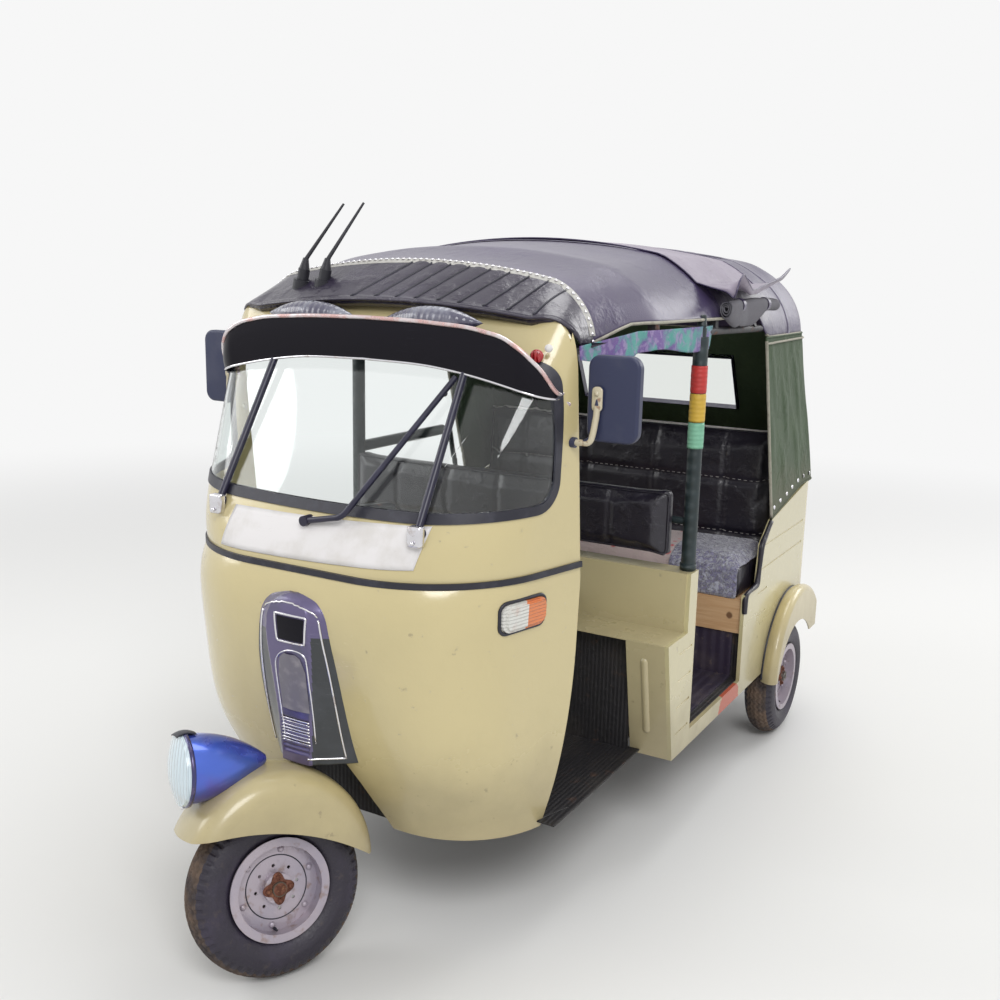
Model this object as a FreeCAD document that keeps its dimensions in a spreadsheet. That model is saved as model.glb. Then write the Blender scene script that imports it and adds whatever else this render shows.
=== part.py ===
import FreeCAD, Part
import math
import os

Vector = FreeCAD.Vector
doc = FreeCAD.newDocument("auto_rickshaw")

# Lengths in millimetres, angles in degrees. x runs to the vehicle's left, y from the front axle
# to the back and z up from the ground.
SIZES = [
    # name, value
    ("wheelbase", 2000),
    ("track", 1150),
    ("origin_back", 1101.9),
    ("tyre_height", 104),
    ("tyre_width", 106),
    ("bead_radius", 104),
    ("rim_flange", 15),
    ("rim_width", 84),
    ("rim_sheet", 4),
    ("hub_radius", 34),
    ("stub_radius", 12),
    ("wheel_play", 0.5),
    ("bolt_circle", 50),
    ("bolt_hole", 4),
    ("rake", 25),
    ("rest_steer", -30),
    ("column_radius", 16),
    ("column_top", 870),
    ("leg_side", 80),
    ("head_sleeve", 30),
    ("sleeve_low", 400),
    ("sleeve_high", 560),
    ("running_gap", 1),
    ("body_side", 595),
    ("panel", 12),
    ("shell_wall", 6),
    ("sheet", 4),
    ("soft_gap", 0.3),
    ("door_edge", 550),
    ("door_edge_low", 528),
    ("door_edge_high", 459),
    ("nose_bottom", 282),
    ("waist", 940),
    ("surround_top", 1560),
    ("bead_height", 14),
    ("bead_proud", 6),
    ("window_low", 1064),
    ("window_high", 1436),
    ("window_back", 425),
    ("rubber_width", 22),
    ("rubber_proud", 4),
    ("glass", 5),
    ("roof_front", 440),
    ("strap_back", 560),
    ("strap_width", 22),
    ("canopy_skin", 5),
    ("canopy_edge", 1495),
    ("quarter_top", 1427),
    ("quarter_front", 1577),
    ("flap_front", 1170),
    ("flap_back", 1640),
    ("tail", 330),
    ("rear_corner", 150),
    ("back_lean", 27),
    ("canvas_corner", 100),
    ("canvas_front", 1771),
    ("canvas_low", 822),
    ("body_bottom", 286),
    ("floor_level", 335),
    ("driver_floor", 300),
    ("box_front_low", 962),
    ("box_front_high", 893),
    ("shelf_level", 639),
    ("partition_back", 1033),
    ("partition_top", 808),
    ("rail_panel_top", 868),
    ("post_strip", 58),
    ("door_rear", 1536),
    ("door_step", 620),
    ("step_back", 1659),
    ("panel_rear_top", 888),
    ("arch_gap", 24),
    ("post_inset", 25),
    ("post_radius", 20),
    ("bench_front", 1545),
    ("bench_level", 600),
    ("bench_cushion", 110),
    ("bench_pad", 91),
    ("bench_high", 1110),
    ("bulkhead_lead", 25),
    ("engine_lead", 20),
    ("engine_length", 310),
    ("engine_drop", 3),
    ("engine_high", 590),
    ("engine_half", 165),
    ("rail_side", 260),
    ("rail_width", 50),
    ("rail_high", 42),
    ("hatch_half", 400),
    ("hatch_low", 500),
    ("hatch_high", 800),
    ("hatch_gap", 6),
    ("fender_out", 55),
    ("fender_wall", 4),
    ("mudguard_gap", 22),
    ("mudguard_half", 105),
    ("mudguard_lift", 55),
    ("mudguard_wall", 3),
    ("lamp_radius", 78),
    ("bumper_reach", 65),
    ("bumper_level", 350),
    ("bumper_radius", 16),
    ("mirror_side", 588),
    ("mirror_width", 126),
    ("mirror_height", 195),
    ("mirror_level", 1337),
]

sheet = doc.addObject("Spreadsheet::Sheet", "sizes")
for row, (name, value) in enumerate(SIZES, start=1):
    sheet.set("A%d" % row, name)
    sheet.set("B%d" % row, str(value))
    sheet.setAlias("B%d" % row, name)
doc.recompute()


class Size:
    """A number together with the sheet expression that it comes from."""

    def __init__(self, value, text):
        self.value = float(value)
        self.text = text

    def __float__(self):
        return self.value

    def __neg__(self):
        return Size(-self.value, "-(%s)" % self.text)

    def __add__(self, other):
        other = sized(other)
        return Size(self.value + other.value, "(%s + %s)" % (self.text, other.text))

    def __sub__(self, other):
        other = sized(other)
        return Size(self.value - other.value, "(%s - %s)" % (self.text, other.text))

    def __mul__(self, other):
        other = sized(other)
        return Size(self.value * other.value, "(%s * %s)" % (self.text, other.text))

    def __truediv__(self, other):
        other = sized(other)
        return Size(self.value / other.value, "(%s / %s)" % (self.text, other.text))

    def __radd__(self, other):
        return sized(other) + self

    def __rsub__(self, other):
        return sized(other) - self

    def __rmul__(self, other):
        return sized(other) * self


def sized(number):
    """A plain number as a Size."""
    if isinstance(number, Size):
        return number
    return Size(number, repr(float(number)))


class Cells:
    """The sheet's cells by name."""


z = Cells()
for name, value in SIZES:
    setattr(z, name, Size(value, "sizes.%s" % name))

# Sizes that follow from others.
z.tyre_radius = z.bead_radius + z.tyre_height
z.rim_radius = z.bead_radius + z.rim_flange
z.arch_radius = z.tyre_radius + z.arch_gap
z.mudguard_radius = z.tyre_radius + z.mudguard_gap
z.post_side = z.body_side - z.post_inset
z.fender_outer = z.body_side + z.fender_out
z.rear_face = z.wheelbase + z.tail
z.bulkhead = z.wheelbase - z.bulkhead_lead
z.bench_back = z.bulkhead - z.sheet - z.bench_pad
z.engine_front = z.wheelbase - z.engine_lead
z.engine_back = z.engine_front + z.engine_length
z.engine_low = z.tyre_radius - z.engine_drop
z.bumper_back = z.rear_face + z.bumper_reach

pieces = []
# Shapes of finished sub-parts in the vehicle's own frame, for the ones that rest against them.
made = {}


def bind(thing, **sizes):
    """Tie properties of an object to sizes; a double underscore stands for a dot."""
    for name, amount in sizes.items():
        thing.setExpression(name.replace("__", "."), sized(amount).text)


def v(x, y, height):
    return Vector(float(x), float(y), float(height))


# The steering axis leans back by the rake and passes through the front hub.
rake = math.radians(float(z.rake))
STEER_AXIS = Vector(0, math.sin(rake), math.cos(rake))


def hub_height():
    """How high the leaning front wheel's hub stands when its round tread touches the ground."""
    lean = math.sin(math.radians(float(z.rest_steer))) * math.sin(rake)
    tread = float(z.tyre_width) / 2
    return (float(z.tyre_radius) - tread) * math.sqrt(1 - lean * lean) + tread


HUB = Vector(0, 0, hub_height())
STEERED = FreeCAD.Placement(HUB, FreeCAD.Rotation(STEER_AXIS, float(z.rest_steer)))


def on_column(distance):
    """The point of the steering axis at a distance above the hub."""
    return HUB + STEER_AXIS * float(distance)


def label(thing, name, steered=False):
    """Name a finished sub-part and put it in the vehicle's frame."""
    thing.Label = name
    if steered:
        shift = FreeCAD.Placement(Vector(0, -float(z.origin_back), 0), FreeCAD.Rotation())
        thing.Placement = shift.multiply(STEERED)
    else:
        bind(thing, Placement__Base__y=-z.origin_back)
    pieces.append(thing)
    return thing


def shaped(name, shape, steered=False):
    """A sub-part whose shape is worked out with the kernel's own functions."""
    thing = doc.addObject("Part::Feature", name)
    if not shape.Placement.isIdentity():
        shape = Part.makeCompound([shape])
    thing.Shape = shape
    thing.Label = name
    made[name] = shape
    shift = FreeCAD.Placement(Vector(0, -float(z.origin_back), 0), FreeCAD.Rotation())
    thing.Placement = shift.multiply(STEERED) if steered else shift
    pieces.append(thing)
    return thing


def box(name, x, y, height):
    """A box between two values on each axis."""
    thing = doc.addObject("Part::Box", name)
    bind(thing, Length=sized(x[1]) - x[0], Width=sized(y[1]) - y[0], Height=sized(height[1]) - height[0])
    bind(thing, Placement__Base__x=x[0], Placement__Base__y=y[0], Placement__Base__z=height[0])
    return thing


TURNS = {
    "x": FreeCAD.Rotation(Vector(0, 1, 0), 90),
    "y": FreeCAD.Rotation(Vector(1, 0, 0), -90),
    "z": FreeCAD.Rotation(),
}


def cylinder(name, radius, length, start, along):
    """A cylinder from a start point along the axis x, y or z."""
    thing = doc.addObject("Part::Cylinder", name)
    thing.Placement = FreeCAD.Placement(Vector(), TURNS[along])
    bind(thing, Radius=radius, Height=length)
    bind(thing, Placement__Base__x=start[0], Placement__Base__y=start[1], Placement__Base__z=start[2])
    return thing


def cut(name, base, tool):
    thing = doc.addObject("Part::Cut", name)
    thing.Base = base
    thing.Tool = tool
    return thing


def fuse(name, parts):
    thing = doc.addObject("Part::MultiFuse", name)
    thing.Shapes = parts
    return thing


def group(name, parts):
    """Solids of one sub-part that do not touch."""
    thing = doc.addObject("Part::Compound", name)
    thing.Links = parts
    return thing


def origin_plane(body, role):
    for feature in body.Origin.OriginFeatures:
        if feature.Role == role:
            return feature
    raise ValueError(role)


def sketch(body, role, name, offset=0):
    """A sketch on one of the body's own origin planes, moved along the plane's normal."""
    drawing = body.newObject("Sketcher::SketchObject", name)
    drawing.AttachmentSupport = [(origin_plane(body, role), "")]
    drawing.MapMode = "FlatFace"
    bind(drawing, AttachmentOffset__Base__z=offset)
    return drawing


def draw(drawing, outline):
    """Draw a closed outline. Each point is (across, up) or (across, up, radius): the radius bends
    the edge to the next point into an arc, bulging to the right of the way, or left if negative."""
    import Sketcher
    ends = [Vector(float(point[0]), float(point[1]), 0) for point in outline]
    for index, point in enumerate(outline):
        start = ends[index]
        finish = ends[(index + 1) % len(ends)]
        if len(point) == 2:
            drawing.addGeometry(Part.LineSegment(start, finish), False)
        else:
            drawing.addGeometry(arc_between(start, finish, float(point[2])), False)
    for index, point in enumerate(outline):
        first = 1
        if len(point) == 3 and float(point[2]) < 0:
            first = 2
        x_lock = drawing.addConstraint(Sketcher.Constraint("DistanceX", index, first, ends[index].x))
        drawing.setExpression("Constraints[%d]" % x_lock, sized(point[0]).text)
        y_lock = drawing.addConstraint(Sketcher.Constraint("DistanceY", index, first, ends[index].y))
        drawing.setExpression("Constraints[%d]" % y_lock, sized(point[1]).text)
        following = outline[(index + 1) % len(outline)]
        last = 3 - first
        after = 2 if len(following) == 3 and float(following[2]) < 0 else 1
        drawing.addConstraint(
            Sketcher.Constraint("Coincident", index, last, (index + 1) % len(outline), after))
        if len(point) == 3:
            radius = sized(point[2]) if float(point[2]) > 0 else -sized(point[2])
            bend = drawing.addConstraint(Sketcher.Constraint("Radius", index, float(radius)))
            drawing.setExpression("Constraints[%d]" % bend, radius.text)


def arc_between(start, finish, radius):
    """The shorter arc of a radius; a positive one bulges to the right of the way, so that it runs
    anticlockwise, and a negative one to the left."""
    middle = (start + finish) * 0.5
    chord = finish - start
    half = chord.Length / 2
    rise = math.sqrt(max(radius * radius - half * half, 0))
    left = Vector(-chord.y, chord.x, 0).normalize()
    side = 1 if radius > 0 else -1
    centre = middle + left * rise * side
    low, high = (start, finish) if radius > 0 else (finish, start)
    first = math.atan2(low.y - centre.y, low.x - centre.x)
    last = math.atan2(high.y - centre.y, high.x - centre.x)
    return Part.ArcOfCircle(Part.Circle(centre, Vector(0, 0, 1), abs(radius)), first, last)


def plate(name, role, outline, start, depth, rounds=()):
    """A body whose outline is drawn on an origin plane and padded from start by depth along +X
    on the YZ plane, +Y on the XZ plane and +Z on the XY plane. Each entry of rounds is a corner's
    place on the plane and its radius."""
    body = doc.addObject("PartDesign::Body", name)
    across = role == "XZ_Plane"
    drawing = sketch(body, role, name + "_outline", -sized(start) if across else start)
    draw(drawing, outline)
    pad = body.newObject("PartDesign::Pad", name + "_pad")
    pad.Profile = drawing
    pad.Reversed = across
    bind(pad, Length=depth)
    doc.recompute()
    for count, (corners, radius) in enumerate(rounds):
        tip = body.Tip
        names = edges_at(tip.Shape, role, corners)
        fillet = body.newObject("PartDesign::Fillet", "%s_round_%d" % (name, count))
        fillet.Base = (tip, names)
        bind(fillet, Radius=radius)
        doc.recompute()
    return body


def edges_at(shape, role, corners):
    """Names of the straight edges that run along the plane's normal at the given places."""
    pick = {"YZ_Plane": (1, 2), "XZ_Plane": (0, 2), "XY_Plane": (0, 1)}[role]
    names = []
    for number, edge in enumerate(shape.Edges, start=1):
        ends = [vertex.Point for vertex in edge.Vertexes]
        if len(ends) != 2:
            continue
        flat = [(end[pick[0]], end[pick[1]]) for end in ends]
        if math.dist(flat[0], flat[1]) > 0.01:
            continue
        for corner in corners:
            if math.dist(flat[0], (float(corner[0]), float(corner[1]))) < 0.05:
                names.append("Edge%d" % number)
    return names


def bent_path(points, bend):
    """A wire of straight runs through the points, joined by tangent arcs."""
    edges = []
    here = points[0]
    for before, corner, after in zip(points, points[1:], points[2:]):
        back = (before - corner).normalize()
        ahead = (after - corner).normalize()
        half = math.acos(max(-1, min(1, back * ahead))) / 2
        reach = bend / math.tan(half)
        start = corner + back * reach
        finish = corner + ahead * reach
        middle = (back + ahead).normalize()
        centre_gap = bend / math.sin(half)
        top = corner + middle * (centre_gap - bend)
        edges.append(Part.LineSegment(here, start).toShape())
        edges.append(Part.Arc(start, top, finish).toShape())
        here = finish
    edges.append(Part.LineSegment(here, points[-1]).toShape())
    return Part.Wire(edges)


def rod(points, radius, bend):
    """A round rod along a bent path."""
    path = bent_path(points, float(bend))
    ring = Part.Wire([Part.makeCircle(float(radius), points[0], points[1] - points[0])])
    return path.makePipeShell([ring], True, False)


def both_sides(shape):
    """A shape and its mirror image in one compound."""
    return Part.makeCompound([shape, shape.mirror(Vector(), Vector(1, 0, 0))])


def side_block(outline, half):
    """A solid with an outline on the y-z plane that reaches half to each side."""
    face = Part.Face(Part.makePolygon([Vector(-half, y, height) for y, height in outline + outline[:1]]))
    return face.extrude(Vector(2 * half, 0, 0))


def front_block(outline, y_from, y_to):
    """A solid with an outline on the x-z plane between two values of y."""
    face = Part.Face(Part.makePolygon([Vector(x, y_from, height) for x, height in outline + outline[:1]]))
    return face.extrude(Vector(0, y_to - y_from, 0))


# The cab's plan at even heights: a flat front, two corner arcs and straight sides that flare out to the
# door edge.
CAB_PLAN = {
    "nose": [
        # front, half of the flat front, half width at the door edge, flare of the side
        (247, 190, 488, 18),
        (188, 180, 491, 14),
        (137, 203, 496, 13),
        (103, 180, 501, 13),
        (84, 168, 507, 13),
        (107, 145, 512, 13),
    ],
    "surround": [
        (107, 145, 512, 13),
        (171, 240, 514, 12),
        (249, 297, 515, 10.5),
        (327, 355, 515, 9),
        (405, 405, 514, 7),
        (482, 458, 512, 4),
    ],
}
CAB_HEIGHTS = {"nose": (z.nose_bottom, z.waist), "surround": (z.waist, z.surround_top)}


def cab_wire(height, front, flat, edge, flare, inset, extra=0):
    """The plan as a closed wire, drawn in by the inset, with its back at the door edge."""
    lean = math.radians(flare)
    front = front + inset
    edge = edge - inset
    back = float(z.door_edge) + extra
    reach = math.tan(lean) * (back - front)
    corner = (edge - flat - reach) / (math.cos(lean) - math.tan(lean) * (1 - math.sin(lean)))
    middle_y = front + corner
    end = Vector(flat + corner * math.cos(lean), middle_y - corner * math.sin(lean), height)
    half_way = (math.pi / 2 + lean) / 2
    bulge = Vector(flat + corner * math.cos(half_way), middle_y - corner * math.sin(half_way), height)
    start = Vector(flat, front, height)
    rear = Vector(edge, back, height)

    def other(point):
        return Vector(-point.x, point.y, point.z)

    return Part.Wire([
        Part.LineSegment(other(rear), other(end)).toShape(),
        Part.Arc(other(end), other(bulge), other(start)).toShape(),
        Part.LineSegment(other(start), start).toShape(),
        Part.Arc(start, bulge, end).toShape(),
        Part.LineSegment(end, rear).toShape(),
        Part.LineSegment(rear, other(rear)).toShape(),
    ])


def cab_block(part, inset, extra=0):
    """A block through the plans of the nose or the windscreen surround, at even heights."""
    low, high = (float(height) for height in CAB_HEIGHTS[part])
    rows = CAB_PLAN[part]
    step = (high - low) / (len(rows) - 1)
    wires = [cab_wire(low + step * count, *row, inset, extra) for count, row in enumerate(rows)]
    return Part.makeLoft(wires, True, False)


def door_edge_block():
    """What lies ahead of the door edge, which swings forward towards the floor and leans forward above
    the waist."""
    edge = float(z.door_edge_low)
    upper = float(z.door_edge_high)
    low = float(z.nose_bottom) - 20
    top = float(z.surround_top)
    arc = Part.Arc(v(-700, edge, 720), v(-700, edge - 22, 480), v(-700, edge - 83, low)).toShape()
    lines = Part.makePolygon([Vector(-700, edge - 83, low), Vector(-700, -200, low), Vector(-700, -200, top),
                              Vector(-700, upper, top), Vector(-700, edge - 4, 900), Vector(-700, edge, 720)])
    face = Part.Face(Part.Wire([arc] + lines.Edges))
    return face.extrude(Vector(1400, 0, 0))


WALL = float(z.shell_wall)
nose_outer = cab_block("nose", 0)
nose_inner = cab_block("nose", WALL, 1)
surround_outer = cab_block("surround", 0)
surround_inner = cab_block("surround", WALL, 1)
ahead_of_door = door_edge_block()

# Half of the opening under the nose for the front wheel, with a slot for the steering column.
ARCH = [(0, 700), (46, 660), (46, 480), (80, 470), (108, 412), (130, 355), (168, 270), (0, 270)]


def wheel_arch(grow=0):
    right = [(x + grow if x else 0, height + (grow if height > 400 else 0)) for x, height in ARCH]
    left = [(-x, height) for x, height in reversed(right[1:-1])]
    return front_block(right[:-1] + [(right[-2][0], 260), (-right[-2][0], 260)] + left, -50, 330)


def make_nose():
    shell = nose_outer.cut(nose_inner).common(ahead_of_door)
    shaped("nose_shell", shell.cut(wheel_arch()))


# Sections across the roof: the edge, a point on the shoulder, where the shoulder meets the top, and
# the middle of the top.
SIDE = float(z.body_side) - float(z.canopy_skin)
BACK = float(z.rear_face)
REACH = float(z.body_side) + 200
ROOF = [
    # y, edge x, edge z, shoulder x, shoulder z, top x, top z, middle z
    (float(z.roof_front), 496, 1462, 470, 1500, 400, 1516, 1543),
    (float(z.strap_back), 494, 1453, 456, 1546, 388, 1593, 1632),
    (800, SIDE - 28, 1490, SIDE - 84, 1570, SIDE - 190, 1634, 1675),
    (float(z.flap_front), SIDE - 8, 1495, SIDE - 70, 1576, SIDE - 190, 1662, 1702),
    (BACK - 580, SIDE, 1440, SIDE - 55, 1560, SIDE - 180, 1656, 1700),
    (BACK + 120, SIDE, 1440, SIDE - 55, 1560, SIDE - 180, 1656, 1700),
]
ROOF_BASE = 760


def roof_wire(row, inset, base=ROOF_BASE):
    y, edge_x, edge_z, side_x, side_z, top_x, top_z, middle_z = row
    edge = Vector(edge_x - inset, y, edge_z)
    shoulder = Vector(side_x - 0.8 * inset, y, side_z - 0.6 * inset)
    top = Vector(top_x - 0.25 * inset, y, top_z - inset)
    middle = Vector(0, y, middle_z - inset)

    def other(point):
        return Vector(-point.x, point.y, point.z)

    foot = Vector(edge.x, y, base)
    return Part.Wire([
        Part.LineSegment(foot, edge).toShape(),
        Part.Arc(edge, shoulder, top).toShape(),
        Part.Arc(top, middle, other(top)).toShape(),
        Part.Arc(other(top), other(shoulder), other(edge)).toShape(),
        Part.LineSegment(other(edge), other(foot)).toShape(),
        Part.LineSegment(other(foot), foot).toShape(),
    ])


def back_block(inset):
    """What lies ahead of the canopy's leaning back, with a round turn into the top."""
    face_y = float(z.rear_face)
    rise = 1503 - 883
    slope = math.tan(math.radians(float(z.back_lean)))
    high = Vector(-REACH, face_y - rise * slope - inset, 1503)
    low = Vector(-REACH, face_y - inset, 883)
    start = Vector(-REACH, face_y - 550, 1702 - inset)
    middle = Vector(-REACH, face_y - 405 - inset * 0.5, 1625 - inset * 0.8)
    turn = Part.Arc(start, middle, high).toShape()
    outline = Part.makePolygon([high, low, Vector(-REACH, low.y, 700), Vector(-REACH, 400, 700),
                                Vector(-REACH, 400, 1900), Vector(-REACH, start.y, 1900), start])
    return Part.Face(Part.Wire([turn] + outline.Edges)).extrude(Vector(2 * REACH, 0, 0))


def corner_block(inset):
    """The canopy's plan with round rear corners, leaned forward with its back."""
    side = SIDE - inset
    radius = float(z.canvas_corner) - inset
    slope = math.tan(math.radians(float(z.back_lean)))
    foot, height = 700, 1200
    back = float(z.rear_face) - inset + (883 - foot) * slope
    turn = radius * (1 - math.sqrt(0.5))
    right = [v(side, back - radius, foot), v(side - turn, back - turn, foot), v(side - radius, back, foot)]
    left = [v(-point.x, point.y, foot) for point in reversed(right)]
    edges = [Part.Arc(*right).toShape(), Part.LineSegment(right[2], left[0]).toShape(),
             Part.Arc(*left).toShape()]
    rest = Part.makePolygon([left[2], v(-side, 400, foot), v(side, 400, foot), right[0]])
    face = Part.Face(Part.Wire(edges + rest.Edges))
    return face.extrude(Vector(0, -height * slope, height))


def roof_block(inset, rows, ruled):
    return Part.makeLoft([roof_wire(row, inset) for row in rows], True, ruled)


SKIN = float(z.canopy_skin)
peak_outer = roof_block(0, ROOF[:2], True)
peak_inner = roof_block(SKIN, ROOF[:2], True)
canopy_outer = roof_block(0, ROOF[1:], True).common(back_block(0)).common(corner_block(0))
canopy_inner = roof_block(SKIN, ROOF[1:], True).common(back_block(SKIN)).common(corner_block(SKIN))


def window_block(inset):
    """The space in front of the door pillars that the windscreen fills."""
    low = float(z.window_low) + inset
    high = float(z.window_high) - inset
    back = float(z.window_back) - inset
    corner = 70 - inset
    side = 640
    rise = 34
    floor = Part.Arc(Vector(-side, -150, low + rise), Vector(0, -150, low), Vector(side, -150, low + rise))
    walls = Part.makePolygon([Vector(side, -150, low + rise), Vector(side, -150, high),
                              Vector(-side, -150, high), Vector(-side, -150, low + rise)])
    across = Part.Face(Part.Wire([floor.toShape()] + walls.Edges)).extrude(Vector(0, 900, 0))
    bottom = low + rise * 0.56
    cosine = corner * (1 - math.sqrt(0.5))
    upper = Part.Arc(Vector(-side, back - corner, high), Vector(-side, back - cosine, high - cosine),
                     Vector(-side, back, high - corner))
    lower = Part.Arc(Vector(-side, back, bottom + corner), Vector(-side, back - cosine, bottom + cosine),
                     Vector(-side, back - corner, bottom))
    ahead = Part.makePolygon([Vector(-side, back - corner, bottom), Vector(-side, back - corner, 900),
                              Vector(-side, -200, 900), Vector(-side, -200, high),
                              Vector(-side, back - corner, high)])
    join = Part.LineSegment(Vector(-side, back, high - corner), Vector(-side, back, bottom + corner))
    edges = [upper.toShape(), join.toShape(), lower.toShape()] + ahead.Edges
    along = Part.Face(Part.Wire(edges)).extrude(Vector(2 * side, 0, 0))
    return across.common(along)


def peak_plan():
    """The plan of the roof's front, whose lip sweeps back over the shoulders."""
    front = float(z.roof_front) - 10
    back = float(z.strap_back)
    right = [v(400, front, 1452), v(472, front + 36, 1452), v(512, back - 6, 1452)]
    left = [v(-point.x, point.y, 1452) for point in reversed(right)]
    edges = [Part.Arc(*right).toShape(), Part.Arc(*left).toShape()]
    rest = [Part.makePolygon([right[2], v(REACH, back - 6, 1452), v(REACH, back, 1452), v(-REACH, back, 1452),
                              v(-REACH, back - 6, 1452), left[0]]),
            Part.makePolygon([left[2], right[0]])]
    wire = Part.Wire(Part.__sortEdges__(edges + rest[0].Edges + rest[1].Edges))
    return Part.Face(wire).extrude(Vector(0, 0, 450))


seal_space = cab_block("surround", -float(z.rubber_proud), 1).common(window_block(0))
peak_shell = peak_outer.cut(peak_inner).common(peak_plan())


def make_surround():
    """The cream pressing round the windscreen, trimmed to the roof and open for the glass."""
    shell = surround_outer.cut(surround_inner)
    front_row = list(ROOF[0])
    ahead = [front_row[0] - 200] + front_row[1:]
    behind = list(ROOF[1])
    behind[0] = behind[0] + 40
    over = Part.makeLoft([roof_wire(row, SKIN, 1990) for row in (ROOF[0], ROOF[1])], True, True)
    over_front = Part.makeLoft([roof_wire(ahead, SKIN, 1990), roof_wire(ROOF[0], SKIN, 1990)], True, True)
    over_back = Part.makeLoft([roof_wire(ROOF[1], SKIN, 1990), roof_wire(behind, SKIN, 1990)], True, True)
    shell = shell.cut(over).cut(over_front).cut(over_back)
    shaped("windscreen_surround", shell.common(ahead_of_door).cut(window_block(0)).cut(peak_shell))


def make_windscreen():
    rubber = float(z.rubber_width)
    proud = cab_block("surround", -float(z.rubber_proud), 1).cut(surround_inner)
    hole = window_block(rubber)
    seal = proud.common(window_block(0)).cut(hole)
    shaped("windscreen_rubber", seal)
    pane = surround_outer.cut(cab_block("surround", float(z.glass), 1))
    shaped("windscreen_glass", pane.common(hole))


def make_waist_bead():
    """A rubber bead over the joint between the nose and the windscreen surround."""
    height = float(z.bead_height)
    row = CAB_PLAN["nose"][-1]
    ring = Part.Face(cab_wire(float(z.waist) - height / 2, *row, -float(z.bead_proud)))
    solid = ring.extrude(Vector(0, 0, height))
    shaped("waist_bead", solid.cut(nose_outer).cut(surround_outer).common(ahead_of_door))


def nose_face(height):
    """Where the flat front of the nose lies at a height."""
    low, high = float(z.nose_bottom), float(z.waist)
    rows = CAB_PLAN["nose"]
    place = (height - low) / (high - low) * (len(rows) - 1)
    row = min(int(place), len(rows) - 2)
    return rows[row][0] + (rows[row + 1][0] - rows[row][0]) * (place - row)


# The column cover's sections from foot to top.
GRILLE = [
    # height, face y, half of the face, half of the flank at the nose
    (478, 84, 40, 124),
    (593, 81, 47, 122),
    (699, 71, 56, 118),
    (782, 62, 62, 107),
    (847, 60, 58, 92),
    (872, 68, 40, 60),
]


def grille_wire(row, gap, drop=0):
    """A section of the column cover: a flat face between two hollow flanks."""
    height, face_y, half, flank = row
    nose_y = nose_face(height) - 5 + gap
    face_y = face_y + gap
    half = half - gap * 0.6
    flank = flank - gap
    middle = v(half + (flank - half) * 0.35, face_y + (nose_y - face_y) * 0.68, height - drop)
    foot = v(flank, 225, height - drop)
    edge = v(flank, nose_y, height - drop)
    corner = v(half, face_y, height - drop)

    def other(point):
        return Vector(-point.x, point.y, point.z)

    return Part.Wire([
        Part.LineSegment(foot, edge).toShape(),
        Part.Arc(edge, middle, corner).toShape(),
        Part.LineSegment(corner, other(corner)).toShape(),
        Part.Arc(other(corner), other(middle), other(edge)).toShape(),
        Part.LineSegment(other(edge), other(foot)).toShape(),
        Part.LineSegment(other(foot), foot).toShape(),
    ])


def make_grille():
    """The column cover on the nose, with hollow flanks and slots at its foot."""
    wall = 5
    block = Part.makeLoft([grille_wire(row, 0) for row in GRILLE], True, True)
    inner = [grille_wire(GRILLE[0], wall, 1)] + [grille_wire(row, wall) for row in GRILLE[1:-1]]
    cover = block.cut(Part.makeLoft(inner, True, True)).cut(nose_outer)
    for count in range(5):
        cover = cover.cut(Part.makeBox(64, 26, 6, v(-32, 72, 500 + 15 * count)))
    shaped("nose_grille", max(cover.Solids, key=lambda solid: solid.Volume))


def make_indicators():
    """Wrap-round turn signals on the nose's corners: a rounded lens that swells from its base."""
    body = None
    for inset, proud in ((0, 8), (7, 14)):
        lamp = Part.makeBox(60, 134 - 2 * inset, 66 - 2 * inset, v(440, 264 + inset, 824 + inset))
        corners = [edge for edge in lamp.Edges if abs(edge.Vertexes[0].X - edge.Vertexes[1].X) > 1]
        lamp = lamp.makeFillet(22 - inset, corners).common(cab_block("nose", -proud, 1))
        body = lamp if body is None else body.fuse(lamp)
    shaped("indicators", both_sides(body.cut(nose_outer)))


def make_roof_front():
    shaped("roof_peak", peak_shell)
    wide = float(z.strap_width)
    slim = 3
    start = float(z.strap_back) - wide / 2
    outer = roof_block(-slim, ROOF[:2], True).fuse(roof_block(-slim, ROOF[1:], True))
    inner = peak_outer.fuse(canopy_outer)
    band = side_block([(start, 1470), (start, 1900), (start + wide, 1900), (start + wide, 1470)], 700)
    shaped("roof_strap", outer.common(band).cut(inner))


def canopy_keep():
    strap = float(z.strap_back)
    edge = float(z.canopy_edge)
    quarter = float(z.quarter_front)
    top = float(z.quarter_top)
    return side_block([(strap, 1900), (strap, 1453), (700, edge), (quarter, edge), (quarter, top),
                       (BACK + 170, top), (BACK + 170, 1900)], REACH)


def make_canopy():
    shell = canopy_outer.cut(canopy_inner)
    shaped("canopy", shell.common(canopy_keep()))
    gap = float(z.soft_gap)
    quarter = float(z.quarter_front)
    top = float(z.quarter_top) - gap
    high = float(z.panel_rear_top) + gap
    lower = [(quarter, top), (float(z.canvas_front), float(z.canvas_low) + gap), (BACK - 150, high),
             (BACK + 170, high), (BACK + 170, top)]
    rest = shell.common(side_block(lower, REACH))
    inside = SIDE - float(z.canvas_corner) - 10
    middle = Part.makeBox(2 * inside, 1500, 1200, Vector(-inside, 1500, 700))
    shaped("quarter_curtains", rest.cut(middle))
    window = Part.makeBox(620, 900, 190, v(-310, BACK - 530, 1130))
    shaped("rear_curtain", rest.common(Part.makeBox(2 * inside - 2, 1500, 1200,
                                                    Vector(-inside + 1, 1500, 700))).cut(window))
    pane = rest.common(Part.makeBox(620 - 2 * gap, 900, 190 - 2 * gap, v(gap - 310, BACK - 530, 1130 + gap)))
    shaped("rear_pane", pane)


FLAP_SKIN = 6
flap_outer = roof_block(-FLAP_SKIN - float(z.soft_gap), ROOF[1:], True)


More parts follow.
